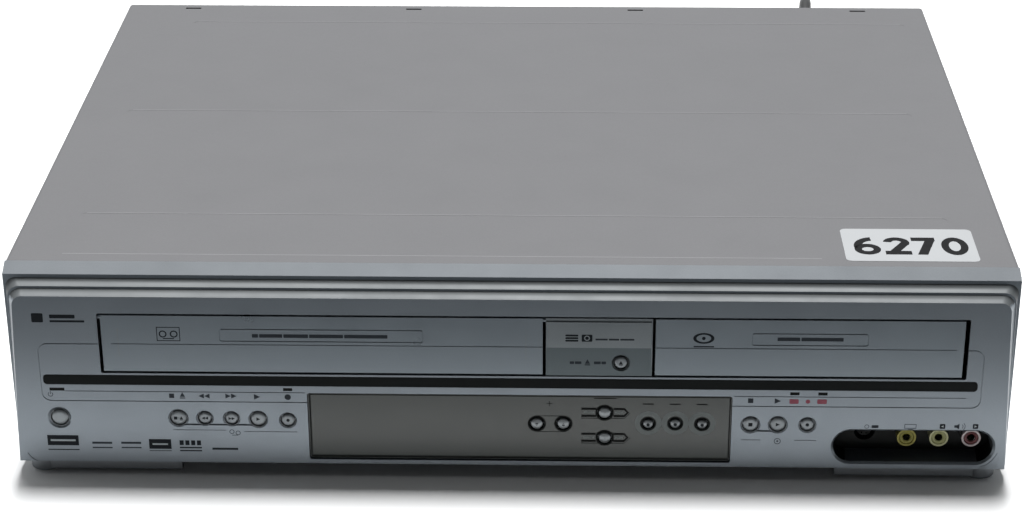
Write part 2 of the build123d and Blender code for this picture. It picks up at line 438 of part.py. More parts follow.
low = cz(DRUM_X, DRUM_Y, DRUM_R, DECK_Z + 1.2, 42.0) - cz(DRUM_X, DRUM_Y, 3.05, DECK_Z - 1, 60)
low += bx(DRUM_X - 22, DRUM_X + 22, DRUM_Y + 24, DRUM_Y + 34, DECK_Z + 1.2, DECK_Z + 6)
out("head_drum_lower", low)
up = cz(DRUM_X, DRUM_Y, DRUM_R, 42.4, 60.0) + cz(DRUM_X, DRUM_Y, 3.0, 27.0, 43.0) + cz(DRUM_X, DRUM_Y, 9.0, 59.9, 63.0)
up -= cz(DRUM_X, DRUM_Y, 24.0, 57.5, 61.0) - cz(DRUM_X, DRUM_Y, 9.0, 50, 70)
for a in range(6):
    an = math.radians(60 * a)
    up -= bx(DRUM_X + (DRUM_R - 0.8) * math.cos(an) - 1.2, DRUM_X + (DRUM_R - 0.8) * math.cos(an) + 1.2,
             DRUM_Y + (DRUM_R - 0.8) * math.sin(an) - 1.2, DRUM_Y + (DRUM_R - 0.8) * math.sin(an) + 1.2, 42.3, 44.5)
out("head_drum_upper", up)
fly = cz(CAP_X, CAP_Y, 26.0, 12.5, 18.5) + cz(CAP_X, CAP_Y, 1.5, 18.0, 62.0)
fly -= cz(CAP_X, CAP_Y, 22.0, 12.0, 14.5) - cz(CAP_X, CAP_Y, 6.0, 11.0, 15.0)
out("capstan_flywheel", fly)
for nm, x in (("supply_reel_table", REEL_X[0]), ("take_up_reel_table", REEL_X[1])):
    t = cz(x, REEL_Y, 19.0, 27.6, 31.0) + cz(x, REEL_Y, 5.2, 30.9, 42.0) + cz(x, REEL_Y, 2.0, DECK_Z - 0.5, 28.0)
    for a in range(3):
        an = math.radians(120 * a)
        t += Pos(x, REEL_Y, 36.0) * Rot(0, 0, 120 * a) * Pos(5.6, 0, 0) * Box(2.2, 1.4, 10)
    out(nm, t)

# --- disc drive -----------------------------------------------------------------------------------
lo = bx(LOAD_X0, LOAD_X1, LOAD_Y0, LOAD_Y1, 44.0, 45.6)
lo -= bx(DISC_X - 36, DISC_X + 36, LOAD_Y0 + 25, LOAD_Y1 - 25, 43, 46)
lo += bx(LOAD_X0, LOAD_X0 + 1.8, LOAD_Y0, LOAD_Y1, 44.0, 80.0) + bx(LOAD_X1 - 1.8, LOAD_X1, LOAD_Y0, LOAD_Y1, 44.0, 80.0)
lo += bx(LOAD_X0 + 1.7, LOAD_X0 + 8.0, LOAD_Y0, LOAD_Y1, 59.8, 61.6) + bx(LOAD_X1 - 8.0, LOAD_X1 - 1.7, LOAD_Y0, LOAD_Y1, 59.8, 61.6)
for s0, s1 in ((LOAD_X0 + 1.7, LOAD_X0 + 5.0), (LOAD_X1 - 5.0, LOAD_X1 - 1.7)):
    for y in (22.0, 92.0, 150.0):
        lo += bx(s0, s1, y, y + 8, 66.4, 68.2)
lo += bx(LOAD_X0, LOAD_X1, LOAD_Y1 - 1.8, LOAD_Y1, 44.0, 78.0)
# motor block under the turntable, on a cross bridge
lo += bx(DISC_X - 40, DISC_X + 40, DISC_Y - 12, DISC_Y + 12, 44.0, 46.0)
lo += cz(DISC_X, DISC_Y, 13.0, 45.9, 54.0)
lo -= cz(DISC_X, DISC_Y, 1.55, 46.5, 60)
# lugs for the sled rods
for x in (DISC_X - 26, DISC_X + 26):
    for y0, y1 in ((DISC_Y + 16, DISC_Y + 20), (DISC_Y + 98, DISC_Y + 102)):
        lo += bx(x - 3.5, x + 3.5, y0, y1, 44.0, 56.0)
lo += bx(DISC_X - 40, DISC_X + 40, DISC_Y + 14, DISC_Y + 21, 44.0, 45.8) + bx(DISC_X - 40, DISC_X + 40, DISC_Y + 97, DISC_Y + 103.2, 44.0, 45.8)
for x in (DISC_X - 26, DISC_X + 26):
    lo -= cy(x, 52.0, 1.5, DISC_Y + 10, DISC_Y + 110)
# bridge over the tray with the seat of the clamp
lo += bx(LOAD_X0, LOAD_X1, DISC_Y - 20, DISC_Y + 20, 78.5, 80.0)
lo -= cz(DISC_X, DISC_Y, 12.0, 77, 82)
out("loader_frame", lo)

tray = bx(TRAY_X0, TRAY_X1, 3.2, TRAY_Y1, TRAY_Z0, TRAY_Z1)
tray -= cz(DISC_X, DISC_Y, 60.6, TRAY_Z1 - 2.0, TRAY_Z1 + 1)
tray -= cz(DISC_X, DISC_Y, 41.0, TRAY_Z1 - 3.0, TRAY_Z1 + 1)
tray -= bx(DISC_X - 18, DISC_X + 18, DISC_Y - 18, TRAY_Y1 + 1, TRAY_Z0 - 1, TRAY_Z1 + 1)
tray -= bx(DISC_X - 54, DISC_X - 40, 142, 160, TRAY_Z0 - 1, TRAY_Z1 + 1) + bx(DISC_X + 40, DISC_X + 54, 142, 160, TRAY_Z0 - 1, TRAY_Z1 + 1)
tray += bx(TRAY_X0 + 6, TRAY_X1 - 6, 3.2, 5.0, TRAY_Z0 - 7, TRAY_Z1 + 8)
out("disc_tray", tray)
td = bx(TRAYD_X0, TRAYD_X1, 0.4, 3.2, TRAYD_Z0, TRAYD_Z1)
td -= bx(TRAYD_X0 + 1.6, TRAYD_X1 - 1.6, 2.2, 4, TRAYD_Z0 + 1.6, TRAYD_Z1 - 1.6)
td += bx(TRAY_X0 + 10, TRAY_X1 - 10, 2.1, 3.2, TRAY_Z0 - 4, TRAY_Z1 + 4)
td -= fr(outline(103.8, 153.7, 67.0, 73.0, 1.0, G), 0, 0.4 + GD)
td -= fr(rr(TRAYD_X0 - 0.01, TRAYD_X1 - 3, LINE_Z, LINE_Z + 0.4), 0, 0.7)
out("tray_door", td)
tt = cz(DISC_X, DISC_Y, 15.0, 57.0, 64.6) + cz(DISC_X, DISC_Y, 7.4, 64.5, 66.6) + cz(DISC_X, DISC_Y, 1.5, 47.5, 58.0)
tt = fillet([e for e in tt.edges() if abs(e.center().Z - 66.6) < 0.01], 1.2)
tt -= cz(DISC_X, DISC_Y, 13.5, 56, 59.5) - cz(DISC_X, DISC_Y, 3.0, 56, 60)
out("turntable", tt)
puck = cz(DISC_X, DISC_Y, 11.4, 72.0, 82.0) + cz(DISC_X, DISC_Y, 15.0, 70.4, 73.0) + cz(DISC_X, DISC_Y, 15.0, 80.6, 82.0)
puck -= cz(DISC_X, DISC_Y, 8.0, 69, 72.0)
out("clamp_puck", puck)
pk = bx(DISC_X - 30, DISC_X + 30, DISC_Y + 26, DISC_Y + 48, 49.0, 55.4)
pk += bx(DISC_X - 14, DISC_X + 14, DISC_Y + 24, DISC_Y + 50, 50.0, 58.0) + cz(DISC_X, DISC_Y + 34, 3.2, 57.9, 59.6)
for x in (DISC_X - 26, DISC_X + 26):
    pk -= cy(x, 52.0, 1.56, DISC_Y + 20, DISC_Y + 60)
out("optical_pickup", pk)
out("guide_rods", Compound(children=[cy(x, 52.0, 1.5, DISC_Y + 16, DISC_Y + 102) for x in (DISC_X - 26, DISC_X + 26)]))

# --- electronics ---------------------------------------------------------------------------------------
hd = fillet([e for e in bx(50, 197, 214, 315.6, 40.0, 66.1).edges().filter_by(Axis.Z)], 3.0)
hd -= bx(60, 187, 222, 308, 65.2, 67)
hd += cz(123, 262, 18, 65.0, 66.0)
out("hard_drive", hd)
mb = bx(30, 212, 28, 326, 14.0, 15.6)
for px, py in ((54, 219), (193, 219), (54, 310), (193, 310)):
    mb -= cz(px, py, 2.6, 13, 17)
for px, py in ((70, 30), (188, 30), (70, 190), (188, 190)):
    mb -= cz(px, py, 3.6, 13, 17)
for x0, x1, y0, y1, hh in ((90, 118, 90, 118, 3), (130, 144, 100, 118, 2), (80, 104, 140, 152, 2), (150, 170, 140, 160, 2.5), (100, 140, 200, 212, 9), (60, 70, 240, 290, 8), (160, 180, 50, 62, 8)):
    mb += bx(x0, x1, y0, y1, 15.5, 15.6 + hh)
for x, y in ((40, 150), (40, 165), (205, 150), (205, 170), (205, 190)):
    mb += cz(x, y, 4.0, 15.5, 27.0)
out("main_board", mb)
pb = bx(-210, -20, 283, 330, 13.0, 14.6)
pb += bx(-120, -86, 288, 318, 14.5, 44.0) + bx(-70, -67, 288, 322, 14.5, 50.0) + bx(-60, -57, 288, 322, 14.5, 50.0)
pb += cz(-140, 304, 11.0, 14.5, 48.0) + bx(-40, -28, 290, 310, 14.5, 30.0)
for x, y in ((-150, 318), (-49, 308), (-78, 318)):
    pb += cz(x, y, 4.0, 14.5, 32.0)
for px, py in ((-205, 288), (-26, 288), (-205, 325), (-26, 325)):
    pb -= cz(px, py, 1.6, 12, 16)
out("power_board", pb)

# --- mains lead ---------------------------------------------------------------------------------------------
relief = Pos(156.0, (RP1 + 360.0) / 2, 84.0) * Rot(-90, 0, 0) * Cone(6.6, 4.0, 360.0 - RP1) + cy(156.0, 84.0, 5.0, RP0 - 3, RP1 + 0.1) + cy(156.0, 84.0, 6.6, RP0 - 4, RP0)
for i in range(4):
    y = RP1 + 6 + 4.5 * i
    relief -= (cy(156.0, 84.0, 9, y, y + 1.4) - cy(156.0, 84.0, 4.0, y - 1, y + 3)) & bx(145, 167, 330, 365, 84, 95)
    relief -= (cy(156.0, 84.0, 9, y + 2.2, y + 3.6) - cy(156.0, 84.0, 4.0, y, y + 5)) & bx(145, 167, 330, 365, 70, 84)
out("cord_strain_relief", relief)


def tube(pts, d):
    v = [Vector(*p) for p in pts]
    radii = []
    for i in range(1, len(v) - 1):
        a, b = v[i] - v[i - 1], v[i + 1] - v[i]
        turn = math.radians(a.get_angle(b))
        radii.append(0.45 * min(a.length, b.length) / math.tan(turn / 2))
    line = FilletPolyline(*[tuple(p) for p in pts], radius=radii)
    start = line @ 0
    solid = sweep(Plane(origin=start, z_dir=line % 0) * Circle(d / 2), path=line)
    print("cord radii", [round(r, 1) for r in radii], "turns", [round(math.degrees(2 * math.atan(0.45 * min((v[i] - v[i - 1]).length, (v[i + 1] - v[i]).length) / radii[i - 1])), 1) for i in range(1, len(v) - 1)],
          "length", round(line.length, 1), "volume ratio", round(solid.volume / (math.pi * d * d / 4 * line.length), 4), "runs", [round((v[i + 1] - v[i]).length, 1) for i in range(len(v) - 1)])
    return solid


lead = tube(ROUTE, CORD_D)
tail = tube(TAIL, CORD_D)
coil_solid = cz(COIL_X, COIL_Y, COIL_R + 1.5 * CORD_D, 0.0, 2 * CORD_D) - cz(COIL_X, COIL_Y, COIL_R - 1.5 * CORD_D, -1, 2 * CORD_D + 1)
lead = lead - coil_solid
tail = tail - coil_solid
out("mains_cord", Compound(children=[s for part_ in (lead, tail) for s in part_.solids()]))
out("cord_coil", coil_solid)
plug = extrude(Plane(origin=(6.0, 426.5, 6.9), x_dir=(0, 1, 0), z_dir=(1, 0, 0)) * RectangleRounded(26.0, 13.6, 6.0), amount=20.0)
plug += loft([Plane(origin=(26.0, 426.5, 6.9), x_dir=(0, 1, 0), z_dir=(1, 0, 0)) * RectangleRounded(26.0, 13.6, 6.0), Plane(origin=(40.0, 426.5, 6.9), x_dir=(0, 1, 0), z_dir=(1, 0, 0)) * RectangleRounded(11.0, 10.6, 5.0)])
plug += cx(426.5 - 9.3, 6.9, 2.0, -13.0, 6.1) + cx(426.5 + 9.3, 6.9, 2.0, -13.0, 6.1)
out("mains_plug", plug)
print("shift", SHIFT_Y)
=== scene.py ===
import bpy, bmesh, json, math
from mathutils import Vector, Matrix

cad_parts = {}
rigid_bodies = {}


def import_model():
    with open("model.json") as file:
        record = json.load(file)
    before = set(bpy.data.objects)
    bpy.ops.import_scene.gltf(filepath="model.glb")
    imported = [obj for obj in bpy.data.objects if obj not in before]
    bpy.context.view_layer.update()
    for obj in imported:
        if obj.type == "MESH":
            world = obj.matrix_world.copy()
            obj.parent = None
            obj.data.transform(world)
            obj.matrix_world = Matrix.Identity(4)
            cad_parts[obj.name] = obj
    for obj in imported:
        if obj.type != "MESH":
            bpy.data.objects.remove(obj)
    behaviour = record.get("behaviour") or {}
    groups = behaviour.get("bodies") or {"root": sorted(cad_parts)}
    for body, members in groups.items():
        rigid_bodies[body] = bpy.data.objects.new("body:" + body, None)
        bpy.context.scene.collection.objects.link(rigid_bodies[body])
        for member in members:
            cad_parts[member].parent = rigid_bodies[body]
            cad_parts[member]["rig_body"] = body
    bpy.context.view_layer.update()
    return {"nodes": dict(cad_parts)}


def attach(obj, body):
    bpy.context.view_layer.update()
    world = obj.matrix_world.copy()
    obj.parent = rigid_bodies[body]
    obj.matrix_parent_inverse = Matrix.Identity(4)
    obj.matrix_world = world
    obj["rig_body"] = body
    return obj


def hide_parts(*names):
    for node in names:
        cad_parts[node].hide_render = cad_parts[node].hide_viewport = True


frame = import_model()

SHIFT_Y = -172.05        # the CAD drawing's Y to the row's Y, millimetres
nodes = frame["nodes"]
scene = bpy.context.scene


def P(x, y, z):
    return Vector((x / 1000.0, (y + SHIFT_Y) / 1000.0, z / 1000.0))


# ---------------------------------------------------------------------------
# materials
# ---------------------------------------------------------------------------
def srgb(r, g, b):
    f = lambda c: (c / 255.0 / 12.92) if c / 255.0 <= 0.04045 else ((c / 255.0 + 0.055) / 1.055) ** 2.4
    return (f(r), f(g), f(b), 1.0)


class Mat:
    def __init__(self, name):
        self.m = bpy.data.materials.new(name)
        self.m.use_nodes = True
        self.t = self.m.node_tree
        self.p = self.t.nodes["Principled BSDF"]
        self.co = self.t.nodes.new("ShaderNodeTexCoord").outputs["Object"]

    def set(self, **kw):
        for k, v in kw.items():
            self.p.inputs[k.replace("_", " ")].default_value = v
        return self

    def noise(self, scale, detail=2.0, rough=0.5, stretch=None):
        n = self.t.nodes.new("ShaderNodeTexNoise")
        n.inputs["Scale"].default_value = scale
        n.inputs["Detail"].default_value = detail
        n.inputs["Roughness"].default_value = rough
        src = self.co
        if stretch:
            mp = self.t.nodes.new("ShaderNodeMapping")
            mp.inputs["Scale"].default_value = stretch
            self.t.links.new(src, mp.inputs["Vector"])
            src = mp.outputs["Vector"]
        self.t.links.new(src, n.inputs["Vector"])
        return n.outputs["Fac"]

    def ramp(self, fac, stops):
        r = self.t.nodes.new("ShaderNodeValToRGB")
        e = r.color_ramp.elements
        while len(e) < len(stops):
            e.new(0.5)
        for el, (pos, col) in zip(e, stops):
            el.position = pos
            el.color = col if len(col) == 4 else (*col, 1.0)
        self.t.links.new(fac, r.inputs["Fac"])
        return r.outputs["Color"]

    def range(self, fac, lo, hi, a=0.3, b=0.7):
        r = self.t.nodes.new("ShaderNodeMapRange")
        r.inputs["From Min"].default_value = a
        r.inputs["From Max"].default_value = b
        r.inputs["To Min"].default_value = lo
        r.inputs["To Max"].default_value = hi
        self.t.links.new(fac, r.inputs["Value"])
        return r.outputs["Result"]

    def link(self, out, name):
        self.t.links.new(out, self.p.inputs[name])
        return self

    def mix(self, fac, a, b):
        x = self.t.nodes.new("ShaderNodeMix")
        x.data_type = "RGBA"
        for val, i in ((fac, 0), (a, 6), (b, 7)):
            if isinstance(val, (int, float, tuple)):
                x.inputs[i].default_value = val
            else:
                self.t.links.new(val, x.inputs[i])
        return x.outputs[2]

    def bump(self, height, strength=0.1, dist=0.0002):
        b = self.t.nodes.new("ShaderNodeBump")
        b.inputs["Strength"].default_value = strength
        b.inputs["Distance"].default_value = dist
        self.t.links.new(height, b.inputs["Height"])
        self.t.links.new(b.outputs["Normal"], self.p.inputs["Normal"])
        return self


def scale_col(c, k):
    return (min(c[0] * k, 1), min(c[1] * k, 1), min(c[2] * k, 1), 1.0)


def paint(name, col, metallic, rough, flake=0.10, fine=2600.0, bump=0.05, mottled=0.03, spec=0.5):
    """Silver paint: fine bright and dark flakes, a faint slow mottle, tiny orange peel."""
    m = Mat(name)
    f = m.noise(fine, 2.0, 0.6)
    slow = m.noise(9.0, 3.0, 0.5)
    c = m.ramp(f, [(0.30, scale_col(col, 1 - flake)), (0.5, col), (0.72, scale_col(col, 1 + flake))])
    c2 = m.ramp(slow, [(0.35, scale_col(col, 1 - mottled)), (0.65, scale_col(col, 1 + mottled))])
    m.link(m.mix(0.5, c, c2), "Base Color")
    m.link(m.range(m.noise(40.0, 4.0, 0.6), rough - 0.03, rough + 0.05), "Roughness")
    m.set(Metallic=metallic)
    m.p.inputs["Specular IOR Level"].default_value = spec
    m.bump(m.noise(1400.0, 3.0, 0.5), bump, 0.00004)
    return m.m


def plastic(name, col, rough=0.45, spread=0.12, scale=900.0, bump=0.12, coat=0.0, metallic=0.0, spec=0.5):
    m = Mat(name)
    f = m.noise(60.0, 4.0, 0.6)
    m.link(m.ramp(f, [(0.3, scale_col(col, 1 - spread)), (0.7, scale_col(col, 1 + spread))]), "Base Color")
    m.link(m.range(m.noise(120.0, 3.0, 0.6), rough - 0.05, rough + 0.06), "Roughness")
    m.set(Metallic=metallic)
    m.p.inputs["Specular IOR Level"].default_value = spec
    if coat:
        m.p.inputs["Coat Weight"].default_value = coat
        m.p.inputs["Coat Roughness"].default_value = 0.12
    if bump:
        m.bump(m.noise(scale, 3.0, 0.6), bump, 0.00005)
    return m.m


FRONT = paint("silver_front", srgb(120, 127, 133), 0.70, 0.33, flake=0.10, fine=2400.0, bump=0.05)
DOORS = paint("silver_doors", srgb(120, 128, 134), 0.70, 0.30, flake=0.08, fine=2400.0, bump=0.04)
BRIGHT = paint("silver_plate", srgb(122, 128, 131), 0.70, 0.30, flake=0.06, fine=2400.0, bump=0.03)
# darker, duller copy of the front silver for the ridge ledges: painted shade that tones down their lit tops
RIDGE_PAINTED_SHADE = paint("silver_ridge_painted_shade", srgb(84, 88, 90), 0.15, 0.56, flake=0.08, fine=2400.0, bump=0.05)
PLATELOW = paint("silver_plate_low", srgb(88, 96, 99), 0.70, 0.32, flake=0.06, fine=2400.0, bump=0.03)
KEYFACE = paint("key_face", srgb(126, 131, 134), 0.55, 0.34, flake=0.06, fine=2600.0, bump=0.03)
# lighter paint for the front walls of the cover ribs and the strips along them: painted highlight where the ribs catch
# the light
RIB_PAINTED_HIGHLIGHT = paint("cover_rib_painted_highlight", srgb(118, 118, 120), 0.20, 0.50, flake=0.10, fine=1500.0, bump=0.1)
# brighter copy of the front silver for up-facing faces: painted highlight standing in for the overhead light on the top
# slope and the key seats
SILVER_PAINTED_HIGHLIGHT = paint("silver_painted_highlight", srgb(149, 154, 159), 0.35, 0.42, flake=0.08, fine=2400.0, bump=0.05)
COVER = paint("cover_paint", srgb(94, 94, 96), 0.25, 0.52, flake=0.10, fine=1500.0, bump=0.12, mottled=0.02)
FOOT = paint("foot_silver", srgb(118, 122, 126), 0.5, 0.42)
KEY = paint("key_silver", srgb(124, 128, 130), 0.75, 0.30, flake=0.05, fine=3000.0, bump=0.03)
ZINC = paint("galvanised_sheet", srgb(168, 170, 172), 0.85, 0.38, flake=0.16, fine=180.0, bump=0.05, mottled=0.10)
MACHINED = paint("machined_alloy", srgb(196, 198, 202), 0.95, 0.22, flake=0.05, fine=700.0, bump=0.03)
BLACKSTRIP = plastic("black_strip", srgb(10, 15, 15), 0.50, 0.10, 900.0, 0.04, spec=0.10)
BLACK = plastic("black_moulding", srgb(24, 25, 26), 0.46, 0.14, 700.0, 0.15)
# near-black plastic of the S-video jack and the jack panel, also laid on the silver recess walls of the front panel as
# painted shade
BLACK_AND_RECESS_SHADE = plastic("black_and_painted_recess_shade", srgb(9, 12, 11), 0.42, 0.14, 700.0, 0.10, spec=0.18)
SOFTBLACK = plastic("black_lead", srgb(20, 20, 21), 0.50, 0.18, 500.0, 0.25)
LENS = plastic("dark_lens", srgb(10, 12, 13), 0.22, 0.08, 900.0, 0.0)
WHITE = plastic("white_moulding", srgb(214, 214, 208), 0.45, 0.03, 700.0, 0.1)
BOARD = plastic("board_lacquer", srgb(38, 92, 52), 0.35, 0.25, 300.0, 0.2)
RUBBER = plastic("grey_foot_end", srgb(112, 115, 116), 0.6, 0.08, 500.0, 0.2)
INK = plastic("printed_ink", srgb(20, 25, 30), 0.55, 0.05, 900.0, 0.0, spec=0.12)
INKSOFT = plastic("printed_ink_soft", srgb(40, 46, 52), 0.55, 0.05, 900.0, 0.0, spec=0.15)
INKRED = plastic("printed_ink_red", srgb(132, 52, 70), 0.55, 0.06, 900.0, 0.0)
INKDIM = plastic("printed_ink_dim", srgb(12, 15, 14), 0.55, 0.05, 900.0, 0.0, spec=0.08)
HALO = plastic("printed_halo", srgb(84, 92, 91), 0.40, 0.04, 900.0, 0.0)
DIGIT = plastic("label_digits", srgb(16, 16, 18), 0.6, 0.08, 900.0, 0.02, spec=0.10)
YELLOW = plastic("yellow_insert", srgb(128, 122, 44), 0.42, 0.05, 700.0, 0.05)
PALE = plastic("white_insert", srgb(146, 146, 96), 0.42, 0.04, 700.0, 0.05)
RED = plastic("red_insert", srgb(84, 20, 24), 0.42, 0.06, 700.0, 0.05)
PAPER = plastic("label_paper", srgb(150, 152, 154), 0.65, 0.02, 1600.0, 0.12)
SCREW = paint("dark_screw", srgb(60, 60, 64), 0.9, 0.34, flake=0.1, fine=700.0)
PLATED = paint("plated_socket", srgb(176, 172, 150), 0.95, 0.26, flake=0.05, fine=700.0, bump=0.02)


def smoked():
    m = Mat("smoked_window")
    f = m.noise(14.0, 2.0, 0.5)
    c = srgb(36, 44, 40)
    m.link(m.ramp(f, [(0.3, scale_col(c, 0.97)), (0.7, scale_col(c, 1.03))]), "Base Color")
    m.link(m.range(m.noise(90.0, 3.0, 0.6), 0.17, 0.25), "Roughness")
    m.p.inputs["Coat Weight"].default_value = 0.2
    m.p.inputs["Coat Roughness"].default_value = 0.1
    return m.m


WINDOW = smoked()

by_node = {
    "top_cover": COVER, "front_panel": FRONT, "cassette_door": DOORS, "tray_door": DOORS, "centre_plate": BRIGHT,
    "feet": FOOT, "trim_strip": BLACKSTRIP, "display_window": WINDOW, "display_module": LENS, "indicator_lenses": LENS,
    "rear_panel": ZINC, "chassis_base": ZINC, "tape_deck": ZINC, "loading_carriage": ZINC, "tuner_module": ZINC,
    "loader_frame": BLACK, "disc_tray": BLACK, "cassette_holder": ZINC, "s_video_jack": BLACK_AND_RECESS_SHADE, "scart_sockets": BLACK,
    "clamp_puck": BLACK, "cord_strain_relief": SOFTBLACK, "mains_cord": SOFTBLACK, "cord_coil": SOFTBLACK,
    "mains_plug": SOFTBLACK, "jack_panel": BLACK_AND_RECESS_SHADE, "front_rca_jacks": PLATED, "rear_rca_jacks": PLATED,
    "cover_screws": SCREW, "door_spring": SCREW, "guide_rods": MACHINED, "front_board": BOARD, "main_board": BOARD,
    "power_board": BOARD, "head_drum_lower": MACHINED, "head_drum_upper": MACHINED, "capstan_flywheel": MACHINED,
    "hard_drive": MACHINED, "turntable": BLACK, "supply_reel_table": WHITE, "take_up_reel_table": WHITE,
    "optical_pickup": BLACK, "inventory_label": PAPER,
}
for n, o in nodes.items():
    m = by_node.get(n, KEY)
    o.data.materials.clear()
    o.data.materials.append(m)


# ---------------------------------------------------------------------------
# a CAD shape with small rounded edges, standing for its node
# ---------------------------------------------------------------------------
def finer(node, width, segs=2, angle=35.0, mat=None, edges=None, flat=True):
    src = nodes[node]
    me = src.data.copy()
    me.name = node + "_finished"
    bm = bmesh.new()
    bm.from_mesh(me)
    bmesh.ops.remove_doubles(bm, verts=bm.verts, dist=1e-6)
    if flat:
        bmesh.ops.dissolve_limit(bm, angle_limit=math.radians(0.4), verts=bm.verts, edges=bm.edges, delimit={"NORMAL"})
        bmesh.ops.dissolve_degenerate(bm, dist=1e-6, edges=bm.edges)
    if edges:
        lay = bm.edges.layers.float.new("bevel_weight_edge")
        for e in bm.edges:
            if len(e.link_faces) == 2 and e.calc_face_angle(0.0) > math.radians(angle):
                a, b = (Vector((v.co.x * 1000.0, v.co.y * 1000.0 - SHIFT_Y, v.co.z * 1000.0)) for v in e.verts)
                if edges(a, b):
                    e[lay] = 1.0
    for e in bm.edges:                 # crisp edges stay crisp where they aren't rounded
        if len(e.link_faces) == 2 and e.calc_face_angle(0.0) > math.radians(28.0):
            if not width or (edges and e[lay] == 0.0):
                e.smooth = False
    bm.to_mesh(me)
    bm.free()
    ob = bpy.data.objects.new(node + "_finished", me)
    scene.collection.objects.link(ob)
    me.materials.clear()
    me.materials.append(mat or by_node.get(node, KEY))
    for p in me.polygons:              # plane faces of unrounded shells are shaded flat
        p.use_smooth = bool(width) or max(abs(c) for c in p.normal) < 0.9998
    if width:
        b = ob.modifiers.new("round", "BEVEL")
        b.width = width / 1000.0
        b.segments = segs
        b.limit_method = "WEIGHT" if edges else "ANGLE"
        b.angle_limit = math.radians(angle)
        b.use_clamp_overlap = True
        b.harden_normals = True
        b.miter_outer = "MITER_ARC"
    ws = ob.modifiers.new("smooth", "WEIGHTED_NORMAL")
    ws.keep_sharp = True
    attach(ob, src["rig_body"])
    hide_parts(node)
    return ob


# ---------------------------------------------------------------------------
# flat printed marks: thin prisms on an X-Z face, or on the label
# ---------------------------------------------------------------------------
class Print:
    def __init__(self, name, body, mat, y, thick=0.05, top=None):
        self.name, self.body, self.mat, self.y, self.t, self.top = name, body, mat, y, thick, top
        self.bm = bmesh.new()
        self.count = 0

    def at(self, u, v, h):
        if self.top is None:
            return P(u, self.y - h, v)
        return P(u, v, self.top + h)

    def poly(self, pts):
        a = [self.bm.verts.new(self.at(u, v, 0.0)) for u, v in pts]
        self.count = (self.count + 1) % 6
        top = self.t + 0.0007 * self.count          # no two tops lie in one plane
        b = [self.bm.verts.new(self.at(u, v, top)) for u, v in pts]
        n = len(pts)
        self.bm.faces.new(a[::-1])
        self.bm.faces.new(b)
        for i in range(n):
            self.bm.faces.new((a[i], a[(i + 1) % n], b[(i + 1) % n], b[i]))
        return self

    def rect(self, x0, x1, z0, z1):
        return self.poly([(x0, z0), (x1, z0), (x1, z1), (x0, z1)])

    def rrect(self, x0, x1, z0, z1, r, k=5):
        pts = []
        for cx_, cz_, a0 in ((x1 - r, z0 + r, -90), (x1 - r, z1 - r, 0), (x0 + r, z1 - r, 90), (x0 + r, z0 + r, 180)):
            for i in range(k + 1):
                a = math.radians(a0 + 90.0 * i / k)
                pts.append((cx_ + r * math.cos(a), cz_ + r * math.sin(a)))
        return self.poly(pts)

    def disc(self, x, z, r, k=28):
        return self.poly([(x + r * math.cos(2 * math.pi * i / k), z + r * math.sin(2 * math.pi * i / k)) for i in range(k)])

    def ring(self, x, z, r, w, a0=0.0, a1=360.0, k=36, sx=1.0):
        full = abs(a1 - a0) >= 359.9
        for i in range(k):
            p, q = math.radians(a0 + (a1 - a0) * i / k), math.radians(a0 + (a1 - a0) * (i + 1) / k)
            self.poly([(x + sx * (r - w) * math.cos(p), z + (r - w) * math.sin(p)), (x + sx * r * math.cos(p), z + r * math.sin(p)),
                       (x + sx * r * math.cos(q), z + r * math.sin(q)), (x + sx * (r - w) * math.cos(q), z + (r - w) * math.sin(q))])
        return self

    def oval(self, x, z, rx, rz, w, h, k=44):
        for i in range(k):
            p, q = 2 * math.pi * i / k, 2 * math.pi * (i + 1) / k
            self.poly([(x + (rx - w) * math.cos(p), z + (rz - h) * math.sin(p)), (x + rx * math.cos(p), z + rz * math.sin(p)),
                       (x + rx * math.cos(q), z + rz * math.sin(q)), (x + (rx - w) * math.cos(q), z + (rz - h) * math.sin(q))])
        return self

    def frame(self, x0, x1, z0, z1, w):
        self.rect(x0, x1, z0, z0 + w); self.rect(x0, x1, z1 - w, z1)
        self.rect(x0, x0 + w, z0 + w, z1 - w); self.rect(x1 - w, x1, z0 + w, z1 - w)
        return self

    def tri(self, x, z, s, d="r"):
        h = s * 0.5
        pts = {"r": [(x - h, z - h), (x + h, z), (x - h, z + h)], "l": [(x + h, z - h), (x + h, z + h), (x - h, z)],
               "u": [(x - h, z - h), (x + h, z - h), (x, z + h)], "d": [(x - h, z + h), (x, z - h), (x + h, z + h)]}[d]
        return self.poly(pts)

    def done(self):
        bmesh.ops.recalc_face_normals(self.bm, faces=self.bm.faces)
        me = bpy.data.meshes.new(self.name)
        self.bm.to_mesh(me)
        self.bm.free()
        me.materials.append(self.mat)
        ob = bpy.data.objects.new(self.name, me)
        scene.collection.objects.link(ob)
        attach(ob, self.body)
        return ob


# ---------------------------------------------------------------------------
# finished shells
# ---------------------------------------------------------------------------
def faces_to(ob, mat, test):
    """Give the faces that pass the test, on centre and normal in drawing millimetres, a second material."""
    me = ob.data
    me.materials.append(mat)
    k = len(me.materials) - 1
    for p in me.polygons:
        c, n = p.center, p.normal
        if test(c.x * 1000.0, c.y * 1000.0 - SHIFT_Y, c.z * 1000.0, n):
            p.material_index = k


panel = finer("front_panel", 0.0, flat=False)
for v in panel.data.vertices:          # the ends of the slope draw in to the width of the cover
    if v.co.z * 1000.0 > 99.3 and abs(v.co.x) > 0.2175 and v.co.y * 1000.0 - SHIFT_Y < 12.5:
        v.co.x -= math.copysign(0.0006, v.co.x)
# up-facing faces of the top slope take the brighter silver: painted highlight
faces_to(panel, SILVER_PAINTED_HIGHLIGHT, lambda x, y, z, n: z > 95.3 and n.z > 0.5)
